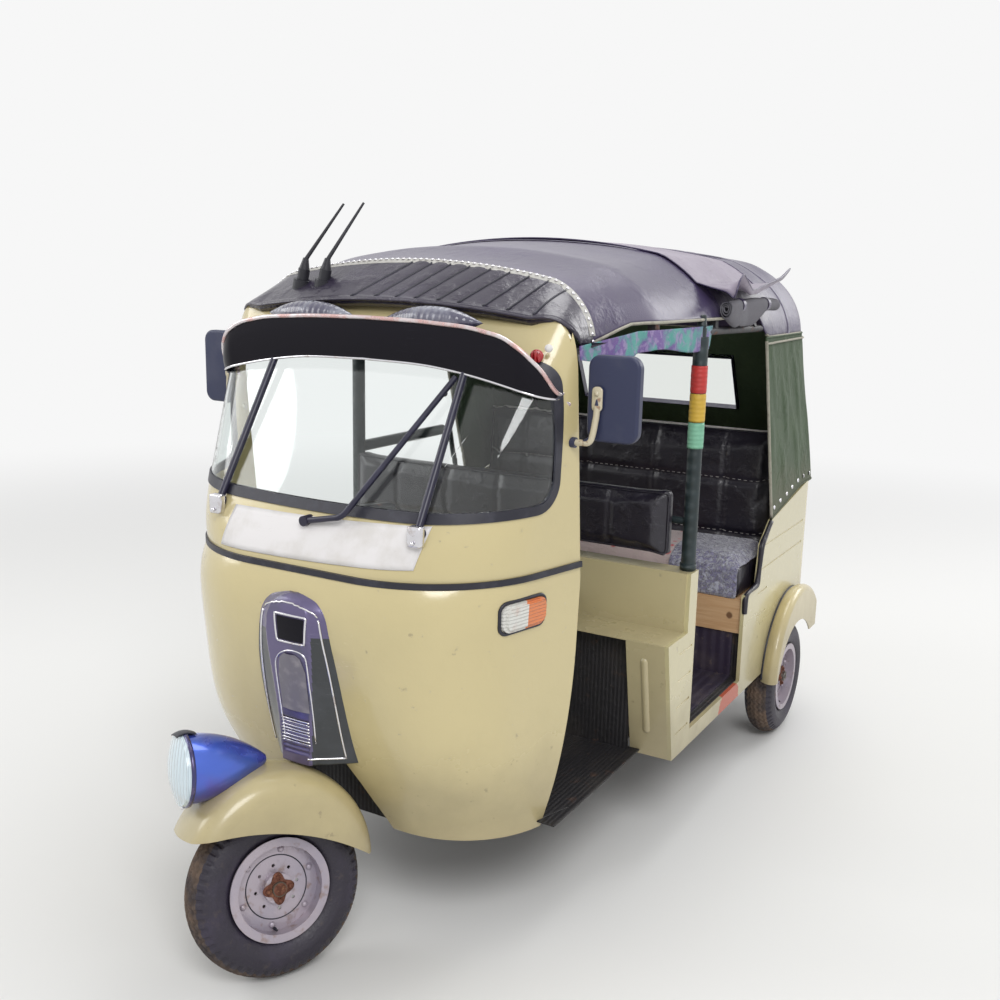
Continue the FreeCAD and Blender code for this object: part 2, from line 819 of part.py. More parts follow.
def make_flap():
    """The second layer of vinyl over the middle of the roof."""
    gap = float(z.soft_gap)
    outer = flap_outer.cut(roof_block(-gap, ROOF[1:], True))
    front = float(z.flap_front)
    back = float(z.flap_back)
    keep = side_block([(front, 1510), (front, 1900), (back, 1900), (back, 1510)], REACH)
    shaped("canopy_flap", outer.common(keep))


def make_rolled_curtains():
    """Side curtains rolled up under the roof edge and strapped there."""
    side = SIDE + 4
    roll = rod([v(side, 1180, 1524), v(side, 1400, 1532), v(side, 1630, 1524)], 20, 600)
    shaped("rolled_curtains", both_sides(roll.cut(flap_outer)))


def chain(points):
    """Arcs end to end through the points, every second one of them a middle."""
    return [Part.Arc(*points[start:start + 3]).toShape() for start in range(0, len(points) - 2, 2)]


def make_visor():
    """A black sun visor over the windscreen: a band across the front that tapers to its turned-back
    ends, and a flat lid behind its top edge that carries two roof lamps."""
    front, side, turn_in, thick = 345, 488, 440, 6
    flat = 420
    plan = []
    for gap in (0, thick):
        right = [v(flat, front + gap, 0), v(side - 18 - gap, front + 30 + gap * 0.4, 0),
                 v(side - gap, turn_in, 0)]
        left = [Vector(-point.x, point.y, 0) for point in right]
        plan.append((Part.Arc(*right).toShape(), Part.LineSegment(right[0], left[0]).toShape(),
                     Part.Arc(*left).toShape(), right[2], left[2]))
    outer, inner = plan
    ends = [Part.LineSegment(outer[3], inner[3]).toShape(), Part.LineSegment(outer[4], inner[4]).toShape()]
    band = Part.Face(Part.Wire(Part.__sortEdges__(list(outer[:3]) + list(inner[:3]) + ends)))
    band.translate(Vector(0, 0, 1300))
    cover = Part.Face(Part.Wire(Part.__sortEdges__(
        list(outer[:3]) + [Part.LineSegment(outer[3], outer[4]).toShape()])))
    cover.translate(Vector(0, 0, 1300))
    upper_half = [(side + 2, 1344), (452, 1432), (388, 1477)]
    lower_half = [(side + 2, 1337), (436, 1374), (366, 1389)]
    y = 300

    def across(half, middle):
        right = [v(x, y, height) for x, height in half]
        return right + [v(0, y, middle)] + [v(-point.x, y, point.z) for point in reversed(right)]

    upper, lower = across(upper_half, 1498), across(lower_half, 1402)
    joins = [Part.LineSegment(upper[place], lower[place]).toShape() for place in (0, -1)]
    face = Part.Face(Part.Wire(Part.__sortEdges__(chain(upper) + chain(lower) + joins)))
    hood = band.extrude(Vector(0, 0, 260)).common(face.extrude(Vector(0, 250, 0)))
    rim = Part.Arc(*upper[2:5]).toShape()
    under = rim.translated(Vector(0, 0, -5))
    joins = [Part.LineSegment(upper[place], upper[place] - Vector(0, 0, 5)).toShape() for place in (2, 4)]
    lid = Part.Face(Part.Wire(Part.__sortEdges__([rim, under] + joins))).extrude(Vector(0, 250, 0))
    lid = lid.common(cover.extrude(Vector(0, 0, 300)))
    solid = hood.fuse(lid).cut(surround_outer).cut(seal_space)
    shaped("sun_visor", max(solid.Solids, key=lambda part: part.Volume))
    lamps = []
    for x in (-189, 168):
        bow = Part.BSplineCurve()
        bow.interpolate([v(x + across, 0, height) for across, height in
                         ((-138, 0), (-110, 12), (-60, 28), (0, 34), (60, 28), (110, 12), (138, 0))])
        floor = Part.LineSegment(v(x + 138, 0, 0), v(x - 138, 0, 0))
        half = Part.Face(Part.Wire([bow.toShape(), floor.toShape()]))
        lamp = half.revolve(Vector(), Vector(1, 0, 0), 360)
        lamp.translate(Vector(0, 388, 1496))
        lamps.append(max(lamp.cut(made["sun_visor"]).Solids, key=lambda part: part.BoundBox.ZMax))
    shaped("roof_lamps", Part.makeCompound(lamps))


def root(size):
    """The square root of a size."""
    size = sized(size)
    return Size(math.sqrt(size.value), "sqrt(%s)" % size.text)


def make_screen_bars():
    """Two round bars in front of the windscreen, on feet below and behind the visor above."""
    bars = []
    for side in (-1, 1):
        low = v(290 * side, 154, 1050)
        high = v(278 * side, 392, 1452)
        bar = rod([low, high], 9, 1)
        foot = Part.makeCylinder(13, 40, v(290 * side, 146, 1050), Vector(0, 1, 0))
        head = Part.makeCylinder(8, 60, v(278 * side, 384, 1448), Vector(0, 1, 0))
        bars.append(bar.fuse(foot).fuse(head).cut(surround_outer).cut(seal_space).cut(made["sun_visor"]))
    shaped("screen_bars", Part.makeCompound([max(bar.Solids, key=lambda part: part.Volume) for bar in bars]))


def make_wiper():
    """The wiper's padded arm and blade on its spindle."""
    arm = rod([v(-14, 146, 1044), v(92, 146, 1066), v(262, 346, 1376)], 7, 30)
    spindle = Part.makeCylinder(12, 50, v(-14, 138, 1044), Vector(0, 1, 0))
    tip = Part.makeCylinder(5, 50, v(240, 320, 1336), Vector(0, 1, 0))
    solid = arm.fuse(spindle).fuse(tip).cut(surround_outer)
    solid = solid.cut(cab_block("surround", -float(z.rubber_proud), 1))
    foot = spindle.cut(surround_outer)
    whole = solid.fuse(foot)
    shaped("wiper", max(whole.Solids, key=lambda part: part.Volume))


def make_aerials():
    """Two short aerials on stacked rubber feet on the front of the roof."""
    aerials = []
    for x, tip in ((-315, v(-222, 560, 1770)), (-244, v(-158, 560, 1772))):
        foot = v(x, 500, 1560)
        up = Vector(18, 0, 80).normalize()
        whole = Part.makeCylinder(23, 32, foot - up * 14, up)
        whole = whole.fuse(Part.makeCylinder(15, 30, foot + up * 16, up))
        neck = foot + up * 44
        whole = whole.fuse(Part.makeCone(14, 7, 30, neck, up))
        start = neck + up * 26
        whole = whole.fuse(Part.makeCone(5.5, 3, (tip - start).Length, start, tip - start))
        aerials.append(whole.cut(peak_outer))
    solids = [max(aerial.Solids, key=lambda part: part.Volume) for aerial in aerials]
    shaped("aerials", Part.makeCompound(solids))


def make_mirrors():
    """Mirrors on curved arms from the door pillars, each arm ending in a flat pad on the back."""
    level = float(z.mirror_level)
    joint = v(500, 464, level - 101)
    arm = rod([joint, v(547, 464, level - 97), v(554, 473, level - 45), v(554, 478, level)], 6, 26)
    foot = Part.makeCylinder(12, 26, joint - Vector(16, 0, 0), Vector(1, 0, 0))
    width = float(z.mirror_width)
    low_x = float(z.mirror_side) - width / 2
    height = float(z.mirror_height)
    housing = Part.makeBox(width, 22, height, v(low_x, 482, level - height / 2))
    upright = [edge for edge in housing.Edges if abs(edge.Vertexes[0].Y - edge.Vertexes[1].Y) > 1]
    housing = housing.makeFillet(28, upright)
    back = [edge for edge in housing.Edges if abs(edge.CenterOfMass.y - 482) < 0.1]
    housing = housing.makeFillet(7, back)
    pad = Part.makeBox(26, 8, 56, v(541, 475, level - 28))
    ends = [edge for edge in pad.Edges if abs(edge.Vertexes[0].Y - edge.Vertexes[1].Y) > 1]
    pad = pad.makeFillet(10, ends)
    shaped("mirrors", both_sides(arm.fuse(foot).fuse(pad).fuse(housing).cut(surround_outer)))


# Heights of the pressed lines along the body sides.
SWAGES = (360, 438, 516, 594, 672, 750)


def swage(name, side, y_from, y_to, height):
    """A shallow line to press into a side panel's outer face."""
    depth = 2
    out = z.body_side - depth if side > 0 else -z.body_side - depth
    return box(name, (out, out + 2 * depth), (y_from, y_to), (height - 3, height + 3))


def swaged(name, panel, side, runs):
    """A side panel with its pressed lines."""
    tools = [swage("%s_swage_%d" % (name, count), side, *run) for count, run in enumerate(runs)]
    return cut(name + "_swaged", panel, fuse(name + "_swages", tools))


def make_side_panels():
    """The body sides. The left one has the passengers' doorway, the right one is closed."""
    start = z.body_side - z.panel
    arch_low = z.body_bottom - z.tyre_radius
    arch_front = z.wheelbase - root(z.arch_radius * z.arch_radius - arch_low * arch_low)
    tail_low = 400
    arch_high = sized(tail_low) - z.tyre_radius
    arch_back = z.wheelbase + root(z.arch_radius * z.arch_radius - arch_high * arch_high)
    corner = z.rear_face - z.rear_corner
    ledge = z.partition_back + z.post_strip
    front = [(z.box_front_low, z.body_bottom), (z.box_front_high, z.shelf_level),
             (z.partition_back, z.shelf_level)]
    door = [(z.partition_back, z.partition_top), (ledge, z.partition_top), (ledge, z.floor_level),
            (z.door_rear, z.floor_level), (z.door_rear, z.door_step), (z.step_back, z.door_step),
            (z.step_back + 19, 756), (z.canvas_front, z.canvas_low)]
    closed = [(z.partition_back, z.partition_top), (ledge, z.partition_top), (ledge, z.rail_panel_top),
              (z.canvas_front - 18, z.rail_panel_top), (z.canvas_front, z.canvas_low)]
    back = [(corner, z.panel_rear_top), (corner, tail_low), (arch_back, tail_low, z.arch_radius),
            (arch_front, z.body_bottom)]
    left = plate("left_side", "YZ_Plane", front + door + back, start, z.panel)
    right = plate("right_side", "YZ_Plane", front + closed + back, -z.body_side, z.panel)
    near_wheel = z.wheelbase - z.arch_radius
    tail_runs = [(z.step_back + 30, corner - 20, height) for height in SWAGES[4:]]
    tail_runs += [(z.step_back + 10, near_wheel, height) for height in SWAGES[2:4]]
    box_runs = [(z.box_front_low + 14, ledge - 18, height) for height in SWAGES[:4]]
    label(swaged("left_side", left, 1, box_runs + tail_runs), "left_side_panel")
    long_runs = [(z.box_front_low + 14, near_wheel, height) for height in SWAGES[:4]]
    label(swaged("right_side", right, -1, long_runs + tail_runs[:2]), "right_side_panel")


def rear_plan(gap=0):
    """The body's plan behind the side panels, drawn in by the gap."""
    side = float(z.body_side) - gap
    back = float(z.rear_face) - gap
    radius = float(z.rear_corner) - gap
    corner_y = float(z.rear_face) - float(z.rear_corner)
    turn = radius * math.sqrt(0.5)
    flat = side - radius
    right = [v(side, corner_y, 0), v(flat + turn, corner_y + turn, 0), v(flat, back, 0)]
    left = [Vector(-point.x, point.y, 0) for point in right]
    return [Part.Arc(*right).toShape(), Part.LineSegment(right[2], left[2]).toShape(),
            Part.Arc(*left).toShape()], right[0], left[0]


def make_rear_panel():
    """The rounded back of the body, with the hatch opening and its hinge knuckles."""
    outer, outer_right, outer_left = rear_plan()
    inner, inner_right, inner_left = rear_plan(WALL)
    ends = [Part.LineSegment(outer_right, inner_right).toShape(),
            Part.LineSegment(outer_left, inner_left).toShape()]
    face = Part.Face(Part.Wire(Part.__sortEdges__(outer + inner + ends)))
    low = 400
    face.translate(Vector(0, 0, low))
    wall = face.extrude(Vector(0, 0, float(z.panel_rear_top) - low))
    half = float(z.hatch_half)
    opening = Part.makeBox(2 * half, 60, float(z.hatch_high) - float(z.hatch_low),
                           v(-half, float(z.rear_face) - 40, z.hatch_low))
    wall = wall.cut(opening)
    for side in (-1, 1):
        knuckle = Part.makeCylinder(4, 60, v(280 * side - 30, z.rear_face + 4, z.hatch_high + 4),
                                    Vector(1, 0, 0))
        wall = wall.fuse(knuckle)
    shaped("rear_panel", wall)


def make_hatch():
    """The engine hatch: a ribbed plate hung from two hinge leaves, with rows of louvre slots."""
    half = z.hatch_half - z.hatch_gap
    low = z.hatch_low + z.hatch_gap
    high = z.hatch_high - z.hatch_gap
    wall = z.shell_wall
    panel = box("hatch_panel", (-half, half), (z.rear_face - wall, z.rear_face), (low, high))
    slots = []
    for count in range(6):
        for side in (-1, 1):
            middle = 200 * side
            height = low + 60 + 24 * count
            slots.append(box("hatch_slot_%d_%d" % (count, side + 1), (middle - 90, middle + 90),
                             (z.rear_face - wall - 1, z.rear_face + 1), (height, height + 9)))
    plain = cut("hatch_slotted", panel, fuse("hatch_slots", slots))
    leaves = []
    for side in (-1, 1):
        leaves.append(box("hatch_leaf_%d" % (side + 1), (280 * side - 20, 280 * side + 20),
                          (z.rear_face, z.rear_face + 3), (high - 30, z.hatch_high - 0.5)))
    label(fuse("hatch_whole", [plain] + leaves), "engine_hatch")


# Half the distance between the seat's two boxes.
BOX_EDGE = 470


def make_floor():
    """The floor: the driver's low floor inside the nose, a riser and the passengers' floor."""
    sheet_wall = float(z.sheet)
    low = float(z.driver_floor)
    riser = float(z.partition_back) + float(z.post_strip)
    plate_low = Part.makeBox(1000, riser - 200, sheet_wall, v(-500, 200, low - sheet_wall))
    ahead = plate_low.common(nose_inner).common(ahead_of_door.translated(Vector(0, 4, 0)))
    side = 440
    sill = 500
    sill_back = 958
    behind = Part.makeBox(2 * side, riser - 440, sheet_wall, v(-side, 440, low - sheet_wall))
    sills = Part.makeBox(2 * sill, sill_back - 440, sheet_wall, v(-sill, 440, low - sheet_wall))
    step = Part.makeBox(2 * side, sheet_wall, float(z.floor_level) - low + sheet_wall,
                        v(-side, riser - sheet_wall, low - sheet_wall))
    inner = float(z.body_side) - float(z.panel)
    rear = Part.makeBox(2 * inner, float(z.bulkhead) - riser, sheet_wall,
                        v(-inner, riser, float(z.floor_level) - sheet_wall))
    board = float(z.bench_front) + 15
    rise = Part.makeBox(2 * inner, sheet_wall, float(z.bench_level) - 12 - float(z.floor_level),
                        v(-inner, board, float(z.floor_level)))
    under_seat = Part.makeBox(2 * BOX_EDGE, sheet_wall, float(z.shelf_level) - sheet_wall - low + 1,
                              v(-BOX_EDGE, 940, low - 1))
    floor = ahead.fuse(behind).fuse(sills).fuse(step).fuse(rear).fuse(rise).fuse(under_seat)
    floor = floor.cut(nose_outer.cut(nose_inner)).cut(wheel_well_block(0)).cut(head_strut())
    shaped("floor_pan", floor.cut(wheel_cutouts()))


def wheel_cutouts():
    """Room for the rear wheels through floor and bulkhead."""
    radius = float(z.arch_radius) + 8
    inner = float(z.track) / 2 - float(z.tyre_width) / 2 - 15
    right = Part.makeCylinder(radius, 200, v(inner, z.wheelbase, z.tyre_radius), Vector(1, 0, 0))
    return both_sides(right)


WELL_HALF = 190
WELL_BACK = 272
WELL_TOP = 470


def wheel_well_block(gap):
    """The space behind the nose's arch in which the front wheel and its mudguard swing."""
    half = WELL_HALF - gap
    top = WELL_TOP - gap
    back = WELL_BACK - gap
    hood = front_block([(-half, 250), (-half, 400), (-130 + gap, top), (130 - gap, top), (half, 400),
                        (half, 250)], 60, back)
    return hood.common(side_block([(60, 250), (60, top), (232 - gap, top), (back, 400), (back, 250)], 300))


def make_wheel_well():
    wall = float(z.sheet)
    shell = wheel_well_block(0).cut(wheel_well_block(wall)).common(nose_inner)
    bottom = Part.makeBox(900, 600, 60, v(-450, 0, 230))
    shell = shell.cut(bottom)
    slot = Part.makeBox(70, 120, 80, v(-35, 90, 440))
    shaped("wheel_well", max(shell.cut(slot).Solids, key=lambda part: part.Volume))


def make_floor_mat():
    """A ribbed rubber mat over the passengers' floor and up the bench's riser."""
    thick = 6
    front = z.partition_back + z.post_strip
    side = 556
    board = z.bench_front + 15
    flat = box("mat_flat", (-side, side), (front, board), (z.floor_level, z.floor_level + thick))
    rise = box("mat_rise", (-side, side), (board - thick, board), (z.floor_level, 489))
    label(fuse("mat_whole", [flat, rise]), "floor_mat")


def box_rib(side):
    """The upright rib pressed in the front of a seat box."""
    slope = (float(z.box_front_low) - float(z.box_front_high)) / (float(z.shelf_level) - float(z.body_bottom))
    ends = []
    for height in (370, 580):
        face_y = float(z.box_front_low) - (height - float(z.body_bottom)) * slope
        ends.append(v(side * (BOX_EDGE + 52), face_y + 7, height))
    shape = Part.makeCylinder(13, (ends[1] - ends[0]).Length, ends[0], ends[1] - ends[0])
    for end in ends:
        shape = shape.fuse(Part.makeSphere(13, end))
    thing = doc.addObject("Part::Feature", "partition_rib_%d" % (side + 1))
    thing.Shape = Part.makeCompound([shape])
    return thing


def make_partition():
    """The folded sheet between the driver and the passengers: seat box, shelf, riser and ledge."""
    wall = z.sheet
    inner = z.body_side - z.panel
    ledge_back = z.partition_back + z.post_strip
    parts = [
        box("partition_shelf", (-inner, inner), (z.box_front_high, z.partition_back),
            (z.shelf_level - wall, z.shelf_level)),
        box("partition_riser", (-inner, inner), (z.partition_back - wall, z.partition_back),
            (z.shelf_level - wall, z.partition_top)),
        box("partition_ledge", (-inner, inner), (z.partition_back - wall, ledge_back),
            (z.partition_top - wall, z.partition_top)),
        box("partition_back", (-inner, inner), (ledge_back, ledge_back + wall),
            (z.floor_level + 6.3, z.partition_top)),
    ]
    for side in (-1, 1):
        start = sized(BOX_EDGE) if side > 0 else -inner
        face = plate("partition_box_%d" % (side + 1), "YZ_Plane",
                     [(z.box_front_low, z.body_bottom), (z.box_front_high, z.shelf_level),
                      (z.box_front_high + wall, z.shelf_level), (z.box_front_low + wall, z.body_bottom)],
                     start, inner - BOX_EDGE)
        cheek = plate("partition_cheek_%d" % (side + 1), "YZ_Plane",
                      [(z.box_front_low, z.body_bottom), (z.box_front_high, z.shelf_level),
                       (z.partition_back - wall, z.shelf_level),
                       (z.partition_back - wall, z.shelf_level - 110),
                       (z.box_front_low + 30, z.body_bottom)],
                      sized(BOX_EDGE) if side > 0 else -sized(BOX_EDGE) - wall, wall)
        parts.extend([face, cheek, box_rib(side)])
    label(fuse("partition_whole", parts), "partition")


def make_bulkhead():
    """The wall behind the bench and the deck over the engine."""
    wall = float(z.sheet)
    inner = float(z.body_side) - float(z.panel)
    level = float(z.panel_rear_top)
    back = Part.makeBox(2 * inner, wall, level - float(z.floor_level),
                        v(-inner, float(z.bulkhead) - wall, z.floor_level))
    edges, right, left = rear_plan(float(z.shell_wall))
    corner_y = right.y
    start = float(z.bulkhead) - wall
    side_edges = [Part.LineSegment(right, v(inner, corner_y, 0)).toShape(),
                  Part.LineSegment(v(inner, corner_y, 0), v(inner, start, 0)).toShape(),
                  Part.LineSegment(v(inner, start, 0), v(-inner, start, 0)).toShape(),
                  Part.LineSegment(v(-inner, start, 0), v(-inner, corner_y, 0)).toShape(),
                  Part.LineSegment(v(-inner, corner_y, 0), left).toShape()]
    face = Part.Face(Part.Wire(Part.__sortEdges__(edges + side_edges)))
    face.translate(Vector(0, 0, level - wall))
    deck = face.extrude(Vector(0, 0, wall))
    shaped("rear_bulkhead", back.fuse(deck).cut(wheel_cutouts()).removeSplitter())


# The side posts stand here, joined by the tube behind the driver's back.
POST_BACK = 1072
RAIL_RADIUS = 10


def cushion(name, x, y, height, radius):
    """A plain padded block with rounded edges."""
    gap = z.soft_gap
    low = sized(height[0]) + gap
    body = doc.addObject("PartDesign::Body", name + "_pad")
    drawing = sketch(body, "XY_Plane", name + "_plan", low)
    draw(drawing, [(sized(x[0]) + gap, sized(y[0]) + gap), (sized(x[1]) - gap, sized(y[0]) + gap),
                   (sized(x[1]) - gap, sized(y[1]) - gap), (sized(x[0]) + gap, sized(y[1]) - gap)])
    pad = body.newObject("PartDesign::Pad", name + "_block")
    pad.Profile = drawing
    bind(pad, Length=sized(height[1]) - low)
    doc.recompute()
    upper = []
    for number, edge in enumerate(pad.Shape.Edges, start=1):
        if edge.CenterOfMass.z > float(low) + 1:
            upper.append("Edge%d" % number)
    fillet = body.newObject("PartDesign::Fillet", name + "_soft")
    fillet.Base = (pad, upper)
    bind(fillet, Radius=radius)
    doc.recompute()
    label(body, name)


def make_seats():
    inner = z.body_side - z.panel
    bench_top = z.bench_level + z.bench_cushion
    cushion("driver_seat", (-230, 230), (850, z.partition_back - z.sheet),
            (z.shelf_level, z.shelf_level + 95), 24)
    cushion("bench_cushion", (-inner, inner), (z.bench_front - 12, z.bench_back),
            (z.bench_level, bench_top), 30)
    cushion("bench_backrest", (-inner, inner), (z.bench_back, z.bulkhead - z.sheet),
            (z.bench_level, z.bench_high), 28)
    front = POST_BACK - RAIL_RADIUS - 62
    cushion("driver_backrest", (-540, 540), (front, POST_BACK - RAIL_RADIUS),
            (z.partition_top + 44, 1040), 22)


def make_bench_board():
    inner = z.body_side - z.panel
    thick = 12
    board = box("bench_base", (-inner, inner), (z.bench_front, z.bulkhead - z.sheet),
                (z.bench_level - thick, z.bench_level))
    apron = box("bench_apron", (-inner, inner), (z.bench_front, z.bench_front + 15),
                (489.3, z.bench_level - thick))
    label(fuse("bench_boards", [board, apron]), "bench_board")


def make_side_posts():
    """Padded posts between the partition's ledge and the canopy frame, with the tube that carries the
    driver's backrest and the rail across the right-hand doorway."""
    side = float(z.post_side)
    low = float(z.partition_top)
    posts = []
    for x in (-side, side):
        posts.append(Part.makeCylinder(float(z.post_radius), 1450 - low, v(x, POST_BACK, low)))
    tube_run = Part.makeCylinder(RAIL_RADIUS, 2 * side, v(-side, POST_BACK, 945), Vector(1, 0, 0))
    rail = rod([v(-side, POST_BACK, 1040), v(-side, 1560, 1040)], 18, 1)
    stay = rod([v(-side, 1540, 1040), v(-side, 1610, 1040), v(-side - 3, 1660, z.rail_panel_top)], 9, 20)
    whole = posts[0]
    for part in (posts[1], tube_run, rail, stay):
        whole = whole.fuse(part)
    shaped("side_posts", whole)


def make_canopy_frame():
    """Steel rails under the canopy's edges, bows across the roof and struts down to the deck."""
    gap = float(z.soft_gap)
    ring = roof_block(SKIN + gap, ROOF[1:], True).cut(roof_block(SKIN + gap + 20, ROOF[1:], True))
    parts = []
    for y in (800, float(z.flap_front), 1500, BACK - 590):
        slab = Part.makeBox(2 * REACH, 20, 400, v(-REACH, y - 10, 1462))
        parts.append(ring.common(slab))
    for side in (-1, 1):
        rail, strut = SIDE - 20, SIDE - 70
        points = [v(476 * side, 455, 1434), v(476 * side, 575, 1444), v((rail - 27) * side, 800, 1462),
                  v((rail - 1) * side, 1170, 1462), v(rail * side, BACK - 630, 1452),
                  v(strut * side, BACK - 327, 1448), v(strut * side, BACK - 44, 888)]
        parts.append(rod(points, 11, 18))
    frame = parts[0]
    for part in parts[1:]:
        frame = frame.fuse(part)
    frame = frame.cut(made["windscreen_surround"]).cut(made["rear_bulkhead"])
    shaped("canopy_frame", max(frame.Solids, key=lambda solid: solid.Volume))


def make_rear_fenders():
    """Arched mudguards that stand out from the body over the rear wheels."""
    axle = float(z.wheelbase)
    axis = v(0, axle + 45, 250)
    base = float(z.body_side)
    out = float(z.fender_outer)
    wall = float(z.fender_wall)
    crown = 285

    def dome(gap, foot):
        points = [v(foot, 0, 268 - gap), v(base + 14, 0, crown - 6 - gap), v(base + 31, 0, crown - gap),
                  v(out - 6 - gap * 0.7, 0, crown - 6 - gap), v(out - gap, 0, crown - 24 - gap)]
        edges = [Part.Arc(*points[:3]).toShape(), Part.Arc(*points[2:]).toShape()]
        rest = Part.makePolygon([points[4], v(out - gap, 0, 0), v(foot, 0, 0), points[0]])
        face = Part.Face(Part.Wire(edges + rest.Edges))
        solid = face.revolve(Vector(), Vector(1, 0, 0), 360)
        solid.translate(axis)
        return solid

    shell = dome(0, base).cut(dome(wall, base - 1))
    keep = side_block([(axle - 300, 256), (axle - 300, 620), (axle + 240, 620), (axle + 240, 345),
                       (axle + 45, 345), (axle + 45, 256)], REACH)
    shell = shell.common(keep)
    opening = Part.makeCylinder(float(z.tyre_radius) + 5, 60, v(out - 12, z.wheelbase, z.tyre_radius),
                                Vector(1, 0, 0))
    shell = shell.cut(opening)
    solid = max(shell.Solids, key=lambda part: part.Volume)
    shaped("rear_fenders", both_sides(solid))


def head_strut():
    """The strut from the steering head down to the first cross member."""
    foot = float(z.driver_floor) - float(z.sheet) - 20
    return rod([on_column(z.sleeve_low + 60) + Vector(0, 24, 0), v(0, 330, 470), v(0, 490, foot)], 22, 60)


def make_chassis():
    """Two stepped rails with cross members, the steering head and its strut."""
    rail = float(z.rail_side)
    wide = float(z.rail_width)
    high = float(z.rail_high)
    top_front = float(z.driver_floor) - float(z.sheet)
    top_rear = float(z.floor_level) - float(z.sheet)
    step = float(z.partition_back) + float(z.post_strip)
    back = float(z.rear_face)
    parts = []
    for side in (-1, 1):
        x = rail * side - wide / 2
        parts.append(Part.makeBox(wide, step - 470, high, v(x, 470, top_front - high)))
        parts.append(Part.makeBox(wide, back - step, high, v(x, step, top_rear - high)))
    joint_high = top_rear - high - (top_front - high)
    parts.append(Part.makeBox(2 * rail + wide, 80, joint_high,
                              v(-rail - wide / 2, step - 40, top_front - high)))
    pivot_y = float(z.wheelbase) - 340
    for y, top in ((470, top_front), (900, top_front), (pivot_y - 20, top_rear), (back - 40, top_rear)):
        parts.append(Part.makeBox(2 * rail, 40, high - 4, v(-rail, y, top - high)))
    for side in (-1, 1):
        start = rail if side > 0 else -574
        parts.append(Part.makeBox(574 - rail, 36, 32, v(start, pivot_y, top_rear - high)))
    frame = parts[0]
    for part in parts[1:]:
        frame = frame.fuse(part)
    low = on_column(z.sleeve_low)
    length = float(z.sleeve_high) - float(z.sleeve_low)
    bore = float(z.column_radius) + float(z.running_gap)
    sleeve = Part.makeCylinder(float(z.head_sleeve), length, low, STEER_AXIS)
    passage = Part.makeCylinder(bore, length + 20, low - STEER_AXIS * 10, STEER_AXIS)
    head = sleeve.fuse(head_strut()).cut(passage)
    frame = frame.fuse(head)
    shaped("chassis_frame", frame.removeSplitter())


def make_engine():
    """One plain block for the engine and gearbox, between the rear wheels."""
    block = box("engine_block", (-z.engine_half, z.engine_half), (z.engine_front, z.engine_back),
                (z.engine_low, z.engine_high))
    label(group("engine_place", [block]), "engine")


def trailing_arm():
    axle, level = float(z.wheelbase), float(z.tyre_radius)
    return rod([v(440, axle - 310, level + 57), v(470, axle - 100, level + 24), v(501, axle, level)], 22, 60)


def make_rear_axle():
    """Half shafts from the gearbox, trailing arms from the cross member, and the wheel stubs."""
    inner = float(z.track) / 2 - 60
    centre = v(0, z.wheelbase, z.tyre_radius)
    shaft = Part.makeCylinder(14, inner - float(z.engine_half), centre + v(z.engine_half, 0, 0),
                              Vector(1, 0, 0))
    plate_disc = Part.makeCylinder(76, 8, centre + v(inner - 2, 0, 0), Vector(1, 0, 0))
    stub = Part.makeCylinder(float(z.stub_radius), 96, centre + v(inner, 0, 0), Vector(1, 0, 0))
    nut = Part.makeCylinder(17, 12, centre + v(float(z.track) / 2 + 31, 0, 0), Vector(1, 0, 0))
    pivot = Part.makeCylinder(24, 90, centre + v(395, -322, 57), Vector(1, 0, 0))
    solid = shaft.fuse(plate_disc).fuse(stub).fuse(nut).fuse(trailing_arm()).fuse(pivot)
    shaped("rear_axle", both_sides(solid))


def make_rear_dampers():
    """Coil springs with dampers, drawn plain, between the trailing arms and the floor."""
    foot = float(z.tyre_radius) + 43
    top = float(z.floor_level) - float(z.sheet)
    damper = Part.makeCylinder(30, top - foot, v(452, float(z.wheelbase) - 150, foot), Vector(0, 0, 1))
    shaped("rear_dampers", both_sides(damper.cut(trailing_arm())))


def make_tail_lamps():
    lamps = []
    for side in (-1, 1):
        x = 380 * side - 55
        lamp = Part.makeBox(110, 24, 52, v(x, z.rear_face, 822))
        edges = [edge for edge in lamp.Edges if edge.CenterOfMass.y > float(z.rear_face) + 20]
        lamps.append(lamp.makeFillet(9, edges))
    shaped("tail_lamps", Part.makeCompound(lamps))


def make_bumper():
    """A tube across the back on two brackets from the chassis rails."""
    back = float(z.bumper_back) - float(z.bumper_radius)
    level = float(z.bumper_level)
    bar = rod([v(-520, back - 50, level), v(-430, back, level), v(430, back, level),
               v(520, back - 50, level)],
              z.bumper_radius, 60)
    parts = bar
    for side in (-1, 1):
        x = float(z.rail_side) * side
        top = float(z.floor_level) - float(z.sheet) - 6
        parts = parts.fuse(Part.makeBox(30, back - float(z.rear_face), 30, v(x - 15, z.rear_face, top - 30)))
        parts = parts.fuse(Part.makeBox(30, 12, 70, v(x - 15, back - 12, top - 30)))
    shaped("rear_bumper", parts)


